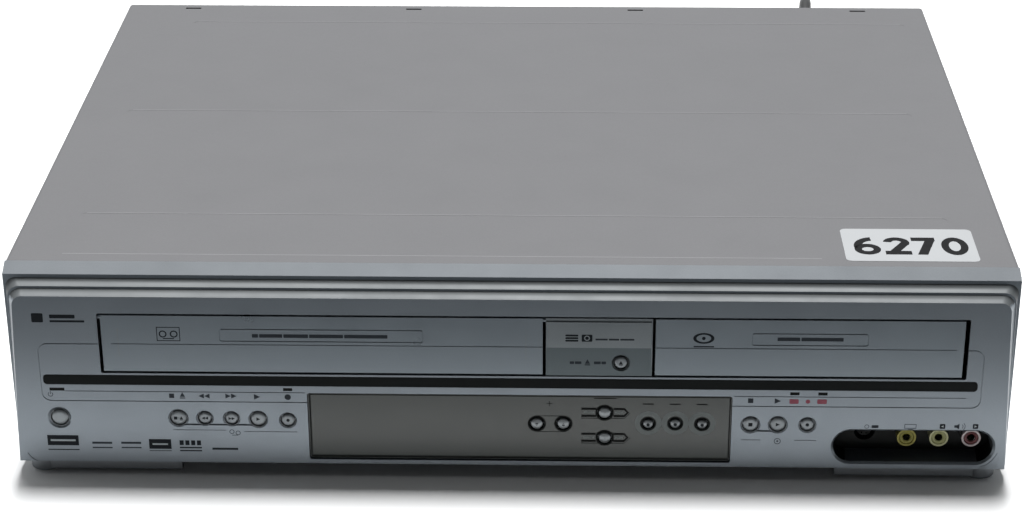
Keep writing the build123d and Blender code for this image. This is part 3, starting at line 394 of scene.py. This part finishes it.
# ridge faces of the panel that do not face straight forward take the darker silver: painted shade
faces_to(panel, RIDGE_PAINTED_SHADE, lambda x, y, z, n: 87.0 < z < 95.3 and y < 7.9 and (n.z > 0.12 or n.y > -0.995))
# the silver walls of the jack recess are painted near-black: painted shade in the recess
faces_to(panel, BLACK_AND_RECESS_SHADE, lambda x, y, z, n: 141.4 < x < 210.6 and 10.2 < z < 25.4 and y > 1.3)
finer("cassette_door", 0.0, flat=False)
finer("tray_door", 0.0, flat=False)
plate = finer("centre_plate", 0.0, flat=False)
faces_to(plate, PLATELOW, lambda x, y, z, n: z < 65.3)
finer("feet", 0.35, 2)
cover = finer("top_cover", 0.12, 2, 40.0)
for v in cover.data.vertices:          # the pressed ribs are shallow
    if 99.1 < v.co.z * 1000.0 < 99.2 and v.co.y * 1000.0 - SHIFT_Y < 328.0:
        v.co.z = 0.09944
# front-facing walls of the pressed ribs take the lighter paint: painted highlight
faces_to(cover, RIB_PAINTED_HIGHLIGHT, lambda x, y, z, n: z > 99.0 and n.y < -0.3 and abs(n.z) < 0.9 and 20.0 < y < 325.0)
finer("display_window", 0.12, 2)
finer("rear_panel", 0.12, 1, 40.0)
finer("mains_plug", 0.6, 3, 40.0)
finer("scart_sockets", 0.2, 2, 40.0)
BUTTONS = [
    ("power_button", -197.2, 29.0, "panel"), ("vcr_stop_eject_button", -145.0, 29.2, "panel"), ("vcr_rewind_button", -133.4, 29.2, "panel"),
    ("vcr_forward_button", -121.7, 29.1, "panel"), ("vcr_play_button", -110.0, 28.9, "panel"), ("vcr_record_button", -97.0, 28.5, "panel"),
    ("disc_stop_button", 104.8, 28.3, "panel"), ("disc_play_button", 116.7, 28.4, "panel"), ("disc_record_button", 129.5, 28.4, "panel"),
    ("tray_open_button", 48.0, 58.0, "mid"), ("channel_down_button", 11.8, 27.8, "window"), ("channel_up_button", 23.4, 27.9, "window"),
    ("copy_to_disc_button", 41.3, 33.5, "window"), ("copy_to_tape_button", 41.5, 21.0, "window"),
    ("select_button_left", 60.3, 28.2, "window"), ("select_button_middle", 72.1, 28.4, "window"), ("select_button_right", 83.8, 28.2, "window"),
]
RADIUS = {"power_button": 3.7, "vcr_stop_eject_button": 3.5, "vcr_rewind_button": 2.9, "vcr_forward_button": 2.9, "vcr_play_button": 3.4,
          "vcr_record_button": 3.0, "disc_stop_button": 3.4, "disc_play_button": 3.4, "disc_record_button": 3.0, "tray_open_button": 2.9}


def lathe(name, body, mat, x, z, prof, k=40):
    """prof is a closed row of (radius, Y) round an axis along Y."""
    bm = bmesh.new()
    rings = []
    for r_, y_ in prof:
        rings.append([bm.verts.new(P(x + r_ * math.cos(2 * math.pi * i / k), y_, z + r_ * math.sin(2 * math.pi * i / k))) for i in range(k)])
    for a, b in zip(rings, rings[1:] + rings[:1]):
        for i in range(k):
            bm.faces.new((a[i], a[(i + 1) % k], b[(i + 1) % k], b[i]))
    bmesh.ops.recalc_face_normals(bm, faces=bm.faces)
    me = bpy.data.meshes.new(name)
    bm.to_mesh(me)
    bm.free()
    for p_ in me.polygons:
        p_.use_smooth = True
    me.materials.append(mat)
    ob = bpy.data.objects.new(name, me)
    scene.collection.objects.link(ob)
    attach(ob, body)
    return ob


for name, bx_, bz_, where in BUTTONS:
    if name not in RADIUS:
        finer(name, 0.35, 3, 40.0)
        continue
    rc = RADIUS[name] - 0.45
    y0 = 0.45 if where == "mid" else 0.1
    cap = finer(name, 0.0, flat=False, mat=KEYFACE)
    for v in cap.data.vertices:        # flat middle and rounded rim in place of the plain dome
        x_, y_, z_ = v.co.x * 1000.0 - bx_, v.co.y * 1000.0 - SHIFT_Y, v.co.z * 1000.0 - bz_
        r_ = math.hypot(x_, z_)
        if y_ < 2.0 and r_ < rc + 0.02:
            if y_ < 0.5:
                v.co.y = P(0, y0 + 0.55 * max(0.0, (r_ / rc - 0.62) / 0.38) ** 2.2, 0).y
            grow = (rc + 0.3) / rc
            v.co.x, v.co.z = (bx_ + x_ * grow) / 1000.0, (bz_ + z_ * grow) / 1000.0
    rh = RADIUS[name] + 0.55
    # seat rings round the keys take the brighter silver on the panel (painted highlight) and the darker ridge silver at
    # the centre plate (painted shade)
    lathe(name + "_seat", "housing", SILVER_PAINTED_HIGHLIGHT if where == "panel" else RIDGE_PAINTED_SHADE, bx_, bz_, [(rh + 0.02, y0 - 0.06), (rh + 0.02, 1.0), (rh - 0.34, 1.0), (rh - 0.16, 0.4 + (y0 - 0.1))], k=56)

# ---------------------------------------------------------------------------
# printed marks on the housing, all plain and generic
# ---------------------------------------------------------------------------
def on_front(name, mat, y=0.0, t=0.03, body="housing"):
    return Print(name, body, mat, y, t)


def word(p, x0, x1, z0, z1, lengths, soft=False):
    """A row of short bars that stands where a printed word is."""
    total = sum(lengths) + 0.35 * (len(lengths) - 1)
    k = (x1 - x0) / total
    x = x0
    for i, w in enumerate(lengths):
        p.rrect(x, x + w * k, z0, z1, min(0.25, (z1 - z0) * 0.3), 3)
        x += (w + 0.35) * k
    return p


# a plain square and plain bars at the upper left
m = on_front("badge_square", INK)
m.rrect(-205.4, -200.4, 75.8, 80.2, 0.5)
m.done()
m = on_front("badge_bar", INK)
m.rrect(-197.6, -182.6, 75.9, 76.9, 0.3)
m.rrect(-197.6, -186.6, 77.8, 79.6, 0.4)
m.done()
# standby: a broken ring with a stroke
m = on_front("standby_symbol", INKSOFT)
m.ring(-200.3, 40.6, 1.15, 0.28, 125, 415, 22)
m.rect(-200.44, -200.16, 40.7, 42.2)
m.done()
# small symbols over the keys of the tape side
m = on_front("tape_key_symbols", INKSOFT)
m.rect(-148.4, -146.2, 39.2, 41.4).tri(-142.6, 41.0, 2.3, "u").rect(-143.8, -141.4, 39.0, 39.5)
m.tri(-134.4, 40.3, 2.4, "l").tri(-131.9, 40.3, 2.4, "l")
m.tri(-122.6, 40.4, 2.4, "r").tri(-120.1, 40.4, 2.4, "r")
m.tri(-110.0, 40.1, 2.7, "r")
m.disc(-96.6, 40.1, 1.4)
m.done()
m = on_front("disc_key_symbols", INKSOFT)
m.rect(103.3, 105.6, 39.1, 41.4).tri(116.2, 40.2, 2.7, "r")
m.done()
m = on_front("record_symbols", INKRED)
m.rrect(121.2, 125.2, 38.9, 41.2, 0.5).disc(129.2, 40.05, 1.0).rrect(133.2, 137.4, 38.9, 41.2, 0.5)
m.done()
# a tape reel pair and a disc under the brackets
m = on_front("group_symbols", INKSOFT)
m.ring(-121.9, 22.6, 1.1, 0.3, k=20).ring(-119.2, 22.0, 1.1, 0.3, k=20).rect(-121.9, -119.2, 20.7, 21.0)
m.ring(116.8, 20.2, 1.5, 0.3, k=24).disc(116.8, 20.2, 0.45, 16)
m.done()
# a row of plain format marks: panels, discs, bars, frames
m = on_front("format_marks", INK)
m.rect(-203.6, -189.8, 15.0, 20.1).rect(-203.6, -189.8, 12.6, 13.1)
m.rect(-158.8, -149.0, 13.6, 18.5).rect(-158.8, -149.0, 12.5, 12.8)
for i in range(4):
    m.rect(-145.3 + 2.55 * i, -143.5 + 2.55 * i, 15.6, 18.0)
m.rect(-145.3, -135.6, 14.0, 14.7).rect(-145.3, -135.6, 12.5, 13.1)
m.rect(-131.0, -119.6, 13.4, 14.4)
m.done()
m = on_front("format_marks_soft", INKSOFT)
for cx_, cz_ in ((-179.5, 15.3), (-166.7, 15.4)):
    m.rect(cx_ - 4.4, cx_ + 4.4, cz_ - 1.6, cz_ - 1.0).rect(cx_ - 4.4, cx_ + 4.4, cz_ + 0.6, cz_ + 1.6)
m.done()
m = on_front("format_marks_light", BRIGHT, -0.03, 0.02)
m.rect(-202.2, -191.2, 17.1, 18.0)
m.rect(-157.3, -150.5, 15.6, 16.4)
m.done()
# socket names as small symbols, and the two square badges
m = on_front("socket_symbols", INKSOFT)
m.ring(155.3, 27.9, 1.0, 0.25, k=20).rrect(157.4, 160.4, 27.2, 28.6, 0.3)
m.frame(171.6, 176.8, 27.1, 29.3, 0.28).rect(173.2, 175.2, 26.6, 26.85)
m.poly([(193.2, 27.7), (194.2, 27.7), (195.4, 26.9), (195.4, 29.7), (194.2, 28.9), (193.2, 28.9)]).ring(195.6, 28.3, 1.5, 0.25, -45, 45, 10).ring(195.6, 28.3, 2.4, 0.25, -45, 45, 10)
m.done()
m = on_front("channel_badges", INK)
m.rrect(186.9, 189.3, 27.1, 29.5, 0.4).rrect(201.2, 203.6, 27.2, 29.6, 0.4)
m.done()
m = on_front("channel_badges_light", BRIGHT, -0.03, 0.02)
m.tri(188.0, 28.3, 1.1, "l").tri(202.5, 28.4, 1.1, "r")
m.done()
# centre plate: a disk stack, and an open/close symbol
m = on_front("plate_symbol", INK, -0.25, 0.03)
for i in range(3):
    m.rrect(24.0, 29.6, 68.6 + 1.25 * i, 69.45 + 1.25 * i, 0.4)
m.rrect(31.0, 35.6, 68.6, 72.0, 0.5)
m.done()
m = on_front("plate_symbol_light", BRIGHT, -0.28, 0.02)
m.ring(33.3, 70.3, 1.25, 0.45, k=20)
m.done()
m = on_front("plate_line", INKSOFT, -0.25, 0.03)
word(m, 36.9, 53.6, 69.3, 70.1, (4.0, 3.4, 4.6))
m.done()
m = on_front("open_symbol", INKSOFT, 0.35, 0.03)
m.tri(33.6, 58.7, 2.2, "u").rrect(32.4, 34.8, 56.8, 57.3, 0.1)
word(m, 26.0, 31.0, 57.4, 58.7, (2.0, 3.0))
word(m, 36.4, 41.6, 57.4, 58.7, (3.0, 2.0))
m.done()
# window: signs over the keys, arrows of the two copy keys, soft light rings round the three selectors
m = on_front("window_symbols", INKDIM, 0.30, 0.03)
m.rect(16.0, 18.6, 37.7, 38.0).rect(17.15, 17.45, 36.6, 39.1)
m.rrect(38.2, 44.4, 42.0, 43.0, 0.3)
m.rrect(36.6, 46.4, 40.4, 40.9, 0.2)
for cx_ in (60.2, 71.9, 83.5):
    m.rrect(cx_ - 2.4, cx_ + 2.4, 37.7, 38.3, 0.2)
m.done()
m = on_front("copy_arrows", INKDIM, 0.60, 0.03)
for zc_ in (33.5, 21.0):
    for a_, b_ in ((31.2, 37.6), (45.2, 50.0)):
        m.rect(a_, b_, zc_ + 1.2, zc_ + 2.3).rect(a_, b_, zc_ - 2.3, zc_ - 1.2)
    m.poly([(50.0, zc_ - 2.3), (51.9, zc_), (50.9, zc_), (49.4, zc_ - 1.6)]).poly([(51.9, zc_), (50.0, zc_ + 2.3), (49.4, zc_ + 1.6), (50.9, zc_)])
m.done()
m = on_front("copy_arrow_marks", HALO, 0.60, 0.03)
for zc_ in (33.5, 21.0):
    m.rect(32.2, 36.8, zc_ - 0.45, zc_ + 0.45).rect(46.0, 49.4, zc_ - 0.45, zc_ + 0.45)
m.done()
m = on_front("selector_light_rings", HALO, 0.30, 0.015)
for name, bx_, bz_, where in BUTTONS[-3:]:
    m.ring(bx_, bz_ + 0.3, 5.9, 2.3, k=40)
m.done()
m = on_front("selector_dark_rims", INKDIM, 0.285, 0.02)
for name, bx_, bz_, where in BUTTONS[-7:]:
    r_ = 2.75 if name.startswith("select") else 3.25
    m.ring(bx_, bz_, r_ + 0.75, 0.75, k=36)
m.done()
m = on_front("lens_fronts", INKDIM, 0.0, 0.04)
for x0, x1, z in ((-200.5, -194.0, 43.0), (-98.5, -94.5, 43.7), (121.4, 125.4, 43.7), (133.5, 137.5, 43.7)):
    m.rect(x0, x1, z - 0.55, z + 0.6)
m.done()
# dark band round the window's edge, widest along the bottom: partly the dark gap, partly painted shadow along the lower
# edge
m = on_front("window_gap_and_painted_shade", INKDIM, 0.30, 0.025)
m.rect(-87.2, 95.7, 10.15, 11.2).rect(-87.2, 95.7, 41.2, 41.65).rect(-87.4, -86.7, 11.2, 41.2).rect(95.4, 95.95, 11.2, 41.2)
m.done()
# doors: plain marks, and the two fine bright ribs of the flap
m = on_front("door_mark", INK, 0.40, 0.03, "cassette_door")
m.frame(-152.0, -141.8, 67.0, 73.8, 0.35)
m.ring(-149.3, 70.4, 1.7, 0.55, k=24).ring(-144.5, 70.4, 1.7, 0.55, k=24).rect(-149.3, -144.5, 68.0, 68.45)
m.done()
m = on_front("door_line", INKSOFT, 0.40, 0.03, "cassette_door")
word(m, -110.8, -52.4, 69.0, 70.7, (2.0, 7.5, 8.0, 11.0, 14.0))
m.done()
m = on_front("door_ribs", KEY, 0.40, 0.05, "cassette_door")
m.rect(-168.95, -168.65, 59.6, 72.0).rect(6.95, 7.2, 59.4, 71.0).disc(-168.8, 72.4, 0.45, 12)
m.done()
m = on_front("tray_mark", INK, 0.40, 0.03, "tray")
m.ring(83.3, 70.3, 2.6, 0.8, k=28, sx=1.75).disc(83.3, 70.3, 0.8, 20).rrect(79.0, 87.8, 66.0, 66.6, 0.2)
m.done()
m = on_front("tray_line", INKSOFT, 0.40, 0.03, "tray")
word(m, 114.8, 143.0, 69.3, 71.0, (7.0, 13.0))
m.done()

# symbols on the keys themselves
def key_symbol(name, draw, y=0.12):
    k = Print(name + "_symbol", name, INK, 0.47 if name.startswith("tray") else y, 0.06)
    x, z = next((b[1], b[2]) for b in BUTTONS if b[0] == name)
    draw(k, x, z)
    if not name.startswith("select"):
        for v in k.bm.verts:
            v.co.x = x / 1000.0 + (v.co.x - x / 1000.0) * 1.35
            v.co.z = z / 1000.0 + (v.co.z - z / 1000.0) * 1.35
    k.done()


key_symbol("vcr_stop_eject_button", lambda k, x, z: k.rect(x - 1.5, x - 0.4, z - 0.6, z + 0.5).tri(x + 0.9, z + 0.1, 1.1, "u").rect(x + 0.35, x + 1.45, z - 0.85, z - 0.6))
key_symbol("vcr_rewind_button", lambda k, x, z: k.tri(x - 0.55, z, 1.05, "l").tri(x + 0.5, z, 1.05, "l"))
key_symbol("vcr_forward_button", lambda k, x, z: k.tri(x - 0.5, z, 1.05, "r").tri(x + 0.55, z, 1.05, "r"))
key_symbol("vcr_play_button", lambda k, x, z: k.tri(x, z, 1.25, "r"))
key_symbol("vcr_record_button", lambda k, x, z: k.disc(x, z, 0.55, 16))
key_symbol("disc_stop_button", lambda k, x, z: k.rect(x - 0.65, x + 0.65, z - 0.65, z + 0.65))
key_symbol("disc_play_button", lambda k, x, z: k.tri(x, z, 1.35, "r"))
key_symbol("disc_record_button", lambda k, x, z: k.disc(x, z, 0.6, 16))
key_symbol("tray_open_button", lambda k, x, z: k.tri(x, z + 0.15, 1.2, "u").rect(x - 0.6, x + 0.6, z - 0.85, z - 0.6))
key_symbol("channel_down_button", lambda k, x, z: k.tri(x, z, 1.0, "d"), -0.43)
key_symbol("channel_up_button", lambda k, x, z: k.tri(x, z, 1.0, "u"), -0.43)
for name in ("select_button_left", "select_button_middle", "select_button_right"):
    key_symbol(name, lambda k, x, z: k.disc(x, z - 0.1, 0.75, 20), -0.43)

# ---------------------------------------------------------------------------
# label on the cover: paper, and four plain digits of other value
# ---------------------------------------------------------------------------
lp = Print("label_paper_finished", "housing", PAPER, 0.0, 0.1, top=99.5)
lp.rrect(144.3, 201.7, 17.1, 49.7, 2.6, 6)
lp = lp.done()
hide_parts("inventory_label")
dg = Print("label_digits", "housing", DIGIT, 0.0, 0.012, top=99.6)
DY = 32.4
dg.oval(154.6, DY - 3.5, 5.7, 5.4, 3.2, 3.4)                                          # six
dg.ring(157.5, DY - 0.4, 9.0, 3.6, 96, 192, 18, sx=0.96)
dg.ring(167.6, DY + 3.3, 5.3, 3.3, -28, 172, 26, sx=1.08)                             # two
dg.poly([(162.0, DY - 8.4), (166.6, DY - 8.4), (172.6, DY + 1.2), (169.6, DY + 3.6)])
dg.rect(162.0, 173.3, DY - 8.7, DY - 5.0)
dg.rect(174.3, 184.6, DY + 5.0, DY + 8.6)                                             # seven
dg.poly([(180.4, DY + 6.0), (184.6, DY + 6.0), (180.0, DY - 8.7), (175.6, DY - 8.7)])
dg.oval(192.6, DY, 5.8, 8.9, 3.3, 4.0)                                                # nought
dg.done()
# thin lighter strips along the ribs on the cover top: painted highlight lines
rl = Print("cover_rib_painted_highlights", "housing", RIB_PAINTED_HIGHLIGHT, 0.0, 0.02, top=99.5)
for x0, x1, y in ((-176.0, 202.0, 310.1), (-190.5, 190.3, 183.6), (-191.0, 191.0, 61.6), (-194.0, 134.0, 19.3)):
    rl.rrect(x0, x1, y - 0.25, y + 0.3, 0.25, 4)
rl.done()

# ---------------------------------------------------------------------------
# sockets: coloured inserts and plated rims
# ---------------------------------------------------------------------------
OLIVE = paint("olive_rim", srgb(128, 122, 62), 0.5, 0.38, flake=0.05, fine=900.0, bump=0.02)
PALERIM = paint("pale_rim", srgb(150, 150, 118), 0.6, 0.36, flake=0.05, fine=900.0, bump=0.02)
STEELRIM = paint("steel_rim", srgb(150, 142, 142), 0.7, 0.36, flake=0.05, fine=900.0, bump=0.02)
for name, x, col, rim in (("video", 174.0, YELLOW, OLIVE), ("audio_left", 188.1, PALE, PALERIM), ("audio_right", 202.2, RED, STEELRIM)):
    lathe(name + "_insert", "housing", col, x, 18.6, [(3.25, 7.58), (3.25, 7.2), (2.9, 7.02), (2.0, 7.05), (1.72, 7.3), (1.72, 7.58)])
jk = finer("front_rca_jacks", 0.15, 2, 40.0)
faces_to(jk, OLIVE, lambda x, y, z, n: x < 181 and y < 12.0)
faces_to(jk, PALERIM, lambda x, y, z, n: 181 < x < 195 and y < 12.0)
faces_to(jk, STEELRIM, lambda x, y, z, n: x > 195 and y < 12.0)
REAR_COLOURS = {62.0: (YELLOW, PALE, RED), 46.0: (YELLOW, PALE, RED), 30.0: (RED, PALE, PALE)}
for i in range(3):
    for z in (62.0, 46.0):
        lathe("rear_insert_%d_%d" % (i, int(z)), "housing", REAR_COLOURS[z][i], -58.0 + 16 * i, z, [(3.25, 342.75), (3.25, 343.3), (2.9, 343.5), (2.0, 343.45), (1.72, 343.2), (1.72, 342.75)])
for i in range(2):
    lathe("rear_insert_%d_30" % i, "housing", RED if i else PALE, -58.0 + 16 * i, 30.0, [(3.25, 342.75), (3.25, 343.3), (2.9, 343.5), (2.0, 343.45), (1.72, 343.2), (1.72, 342.75)])

# ---------------------------------------------------------------------------
# mains lead: one smooth curve through the route, the coil and the tail
# ---------------------------------------------------------------------------
ROUTE = [(156.0, 360.0, 84.0), (157.5, 376.2, 86.9), (159.0, 392.2, 82.9), (160.2, 405.7, 72.6), (161.2, 414.3, 57.3),
         (161.2, 421.4, 36.2), (154.7, 426.4, 21.2), (142.7, 430.2, 9.6), (127.0, 432.0, 3.3), (110.0, 432.0, 3.3)]
TAIL = [(110.0, 432.0, 9.75), (92.0, 432.5, 9.6), (73.0, 431.0, 8.0), (56.0, 427.5, 7.0), (40.0, 426.5, 6.9)]
CORD_D = 6.5
COIL = (110.0, 386.5)
N_TURN = 24
GROW = 1.0 / (0.75 + 0.25 * math.cos(2 * math.pi / N_TURN))


def ease(t):
    t = max(0.0, min(1.0, t))
    return t * t * (3 - 2 * t)


def coil_place(turn):
    """Radius and height after that many turns: three turns inwards on the floor, then two and a bit outwards on top."""
    n, f = int(turn), turn - int(turn)
    low, high = 3.27, 9.75
    r = (45.5, 39.0, 32.5)
    if n < 3:
        radius = r[n] + ((r[n + 1] - r[n]) * ease((f - 0.72) / 0.28) if n < 2 else 0.0)
        height = low + ((high - low) * ease((f - 0.5) / 0.5) if n == 2 else 0.0)
    else:
        up_r = (32.5, 39.0, 45.5)
        m_ = n - 3
        radius = up_r[min(m_, 2)] + ((6.5 * ease((f - 0.22) / 0.28)) if m_ < 2 else 0.0)
        height = high
    return radius, height


pts = list(ROUTE)
for i in range(1, 5 * N_TURN):
    r_, h_ = coil_place(i / N_TURN)
    a_ = math.pi / 2 + 2 * math.pi * i / N_TURN
    g_ = GROW
    pts.append((COIL[0] + r_ * g_ * math.cos(a_), COIL[1] + r_ * g_ * math.sin(a_), h_))
pts += TAIL
cu = bpy.data.curves.new("mains_lead", "CURVE")
cu.dimensions = "3D"
cu.bevel_depth = CORD_D / 2000.0
cu.bevel_resolution = 6
cu.resolution_u = 6
cu.use_fill_caps = True
sp = cu.splines.new("NURBS")
sp.points.add(len(pts) - 1)
for p_, q_ in zip(sp.points, pts):
    v_ = P(*q_)
    p_.co = (v_.x, v_.y, v_.z, 1.0)
sp.order_u = 3
sp.use_endpoint_u = True
cu.materials.append(SOFTBLACK)
lead = bpy.data.objects.new("mains_lead", cu)
scene.collection.objects.link(lead)
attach(lead, "housing")
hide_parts("mains_cord", "cord_coil")


# ---------------------------------------------------------------------------
# camera: from the fit of the photograph's corners and lines
# ---------------------------------------------------------------------------
F_PX, YAW, PITCH, ROLL = 2421.075, -0.0262987, 0.4496893, -0.0044191
CAM = (25.503, -920.378, 551.047)
fwd = Vector((math.sin(YAW) * math.cos(PITCH), math.cos(YAW) * math.cos(PITCH), -math.sin(PITCH)))
right = Vector((math.cos(YAW), -math.sin(YAW), 0.0))
up = right.cross(fwd)
r2 = math.cos(ROLL) * right + math.sin(ROLL) * up
u2 = -math.sin(ROLL) * right + math.cos(ROLL) * up
cam_data = bpy.data.cameras.new("camera")
cam_data.sensor_width = 36.0
cam_data.sensor_fit = "HORIZONTAL"
cam_data.lens = F_PX * 36.0 / 1024.0
cam_data.clip_start, cam_data.clip_end = 0.05, 30.0
cam = bpy.data.objects.new("camera", cam_data)
scene.collection.objects.link(cam)
cam.matrix_world = Matrix.Translation(P(*CAM)) @ Matrix((r2, u2, -fwd)).transposed().to_4x4()
scene.camera = cam

# ---------------------------------------------------------------------------
# floor and light
# ---------------------------------------------------------------------------
fm = Mat("floor_white")
sep = fm.t.nodes.new("ShaderNodeSeparateXYZ")
fm.t.links.new(fm.co, sep.inputs["Vector"])
far = fm.range(sep.outputs["Y"], 0.0, 1.0, -0.91, -0.825)
path = fm.t.nodes.new("ShaderNodeLightPath")
keep = fm.t.nodes.new("ShaderNodeMath")
keep.operation = "MAXIMUM"
fm.t.links.new(far, keep.inputs[0])
fm.t.links.new(path.outputs["Is Camera Ray"], keep.inputs[1])
far = keep.outputs[0]
fm.link(fm.mix(far, (0.10, 0.105, 0.11, 1.0), fm.ramp(fm.noise(3.0, 3.0, 0.5), [(0.3, (0.86, 0.865, 0.87)), (0.7, (0.89, 0.89, 0.89))])), "Base Color")
fm.set(Roughness=0.75)
fm.p.inputs["Specular IOR Level"].default_value = 0.2
bpy.ops.mesh.primitive_plane_add(size=8.0, location=(0, 0.6, 0))
floor = bpy.context.object
floor.name = "floor"
floor.data.materials.append(fm.m)


def area(name, loc, target, size, power, size_y=None, color=(1, 1, 1)):
    d = bpy.data.lights.new(name, "AREA")
    d.energy = power
    d.color = color
    d.size = size
    if size_y:
        d.shape = "RECTANGLE"
        d.size_y = size_y
    o = bpy.data.objects.new(name, d)
    o.location = loc
    o.rotation_euler = (Vector(target) - Vector(loc)).to_track_quat("-Z", "Y").to_euler()
    scene.collection.objects.link(o)
    return o


area("key_back", (0.05, 2.91, 12.0), (0, -0.1, 0.08), 1.7, 2720.0, 3.5)
area("side_left", (-1.3, -0.1, 1.0), (0, 0, 0.05), 0.7, 2.0, 0.7)
area("front_low", (0.0, -1.5, 0.16), (0, -0.15, 0.02), 1.8, 0.9, 0.2)

world = bpy.data.worlds.new("studio")
world.use_nodes = True
scene.world = world
wt = world.node_tree
bg = wt.nodes["Background"]
tc = wt.nodes.new("ShaderNodeTexCoord")
sx = wt.nodes.new("ShaderNodeSeparateXYZ")
wt.links.new(tc.outputs["Generated"], sx.inputs["Vector"])
rp = wt.nodes.new("ShaderNodeMapRange")
rp.inputs["From Min"].default_value = -0.35
rp.inputs["From Max"].default_value = 0.9
rp.inputs["To Min"].default_value = 0.03
rp.inputs["To Max"].default_value = 0.75
wt.links.new(sx.outputs["Y"], rp.inputs["Value"])
bg.inputs["Color"].default_value = (0.96, 0.99, 1.0, 1.0)
wt.links.new(rp.outputs["Result"], bg.inputs["Strength"])
scene.view_settings.view_transform = "Standard"
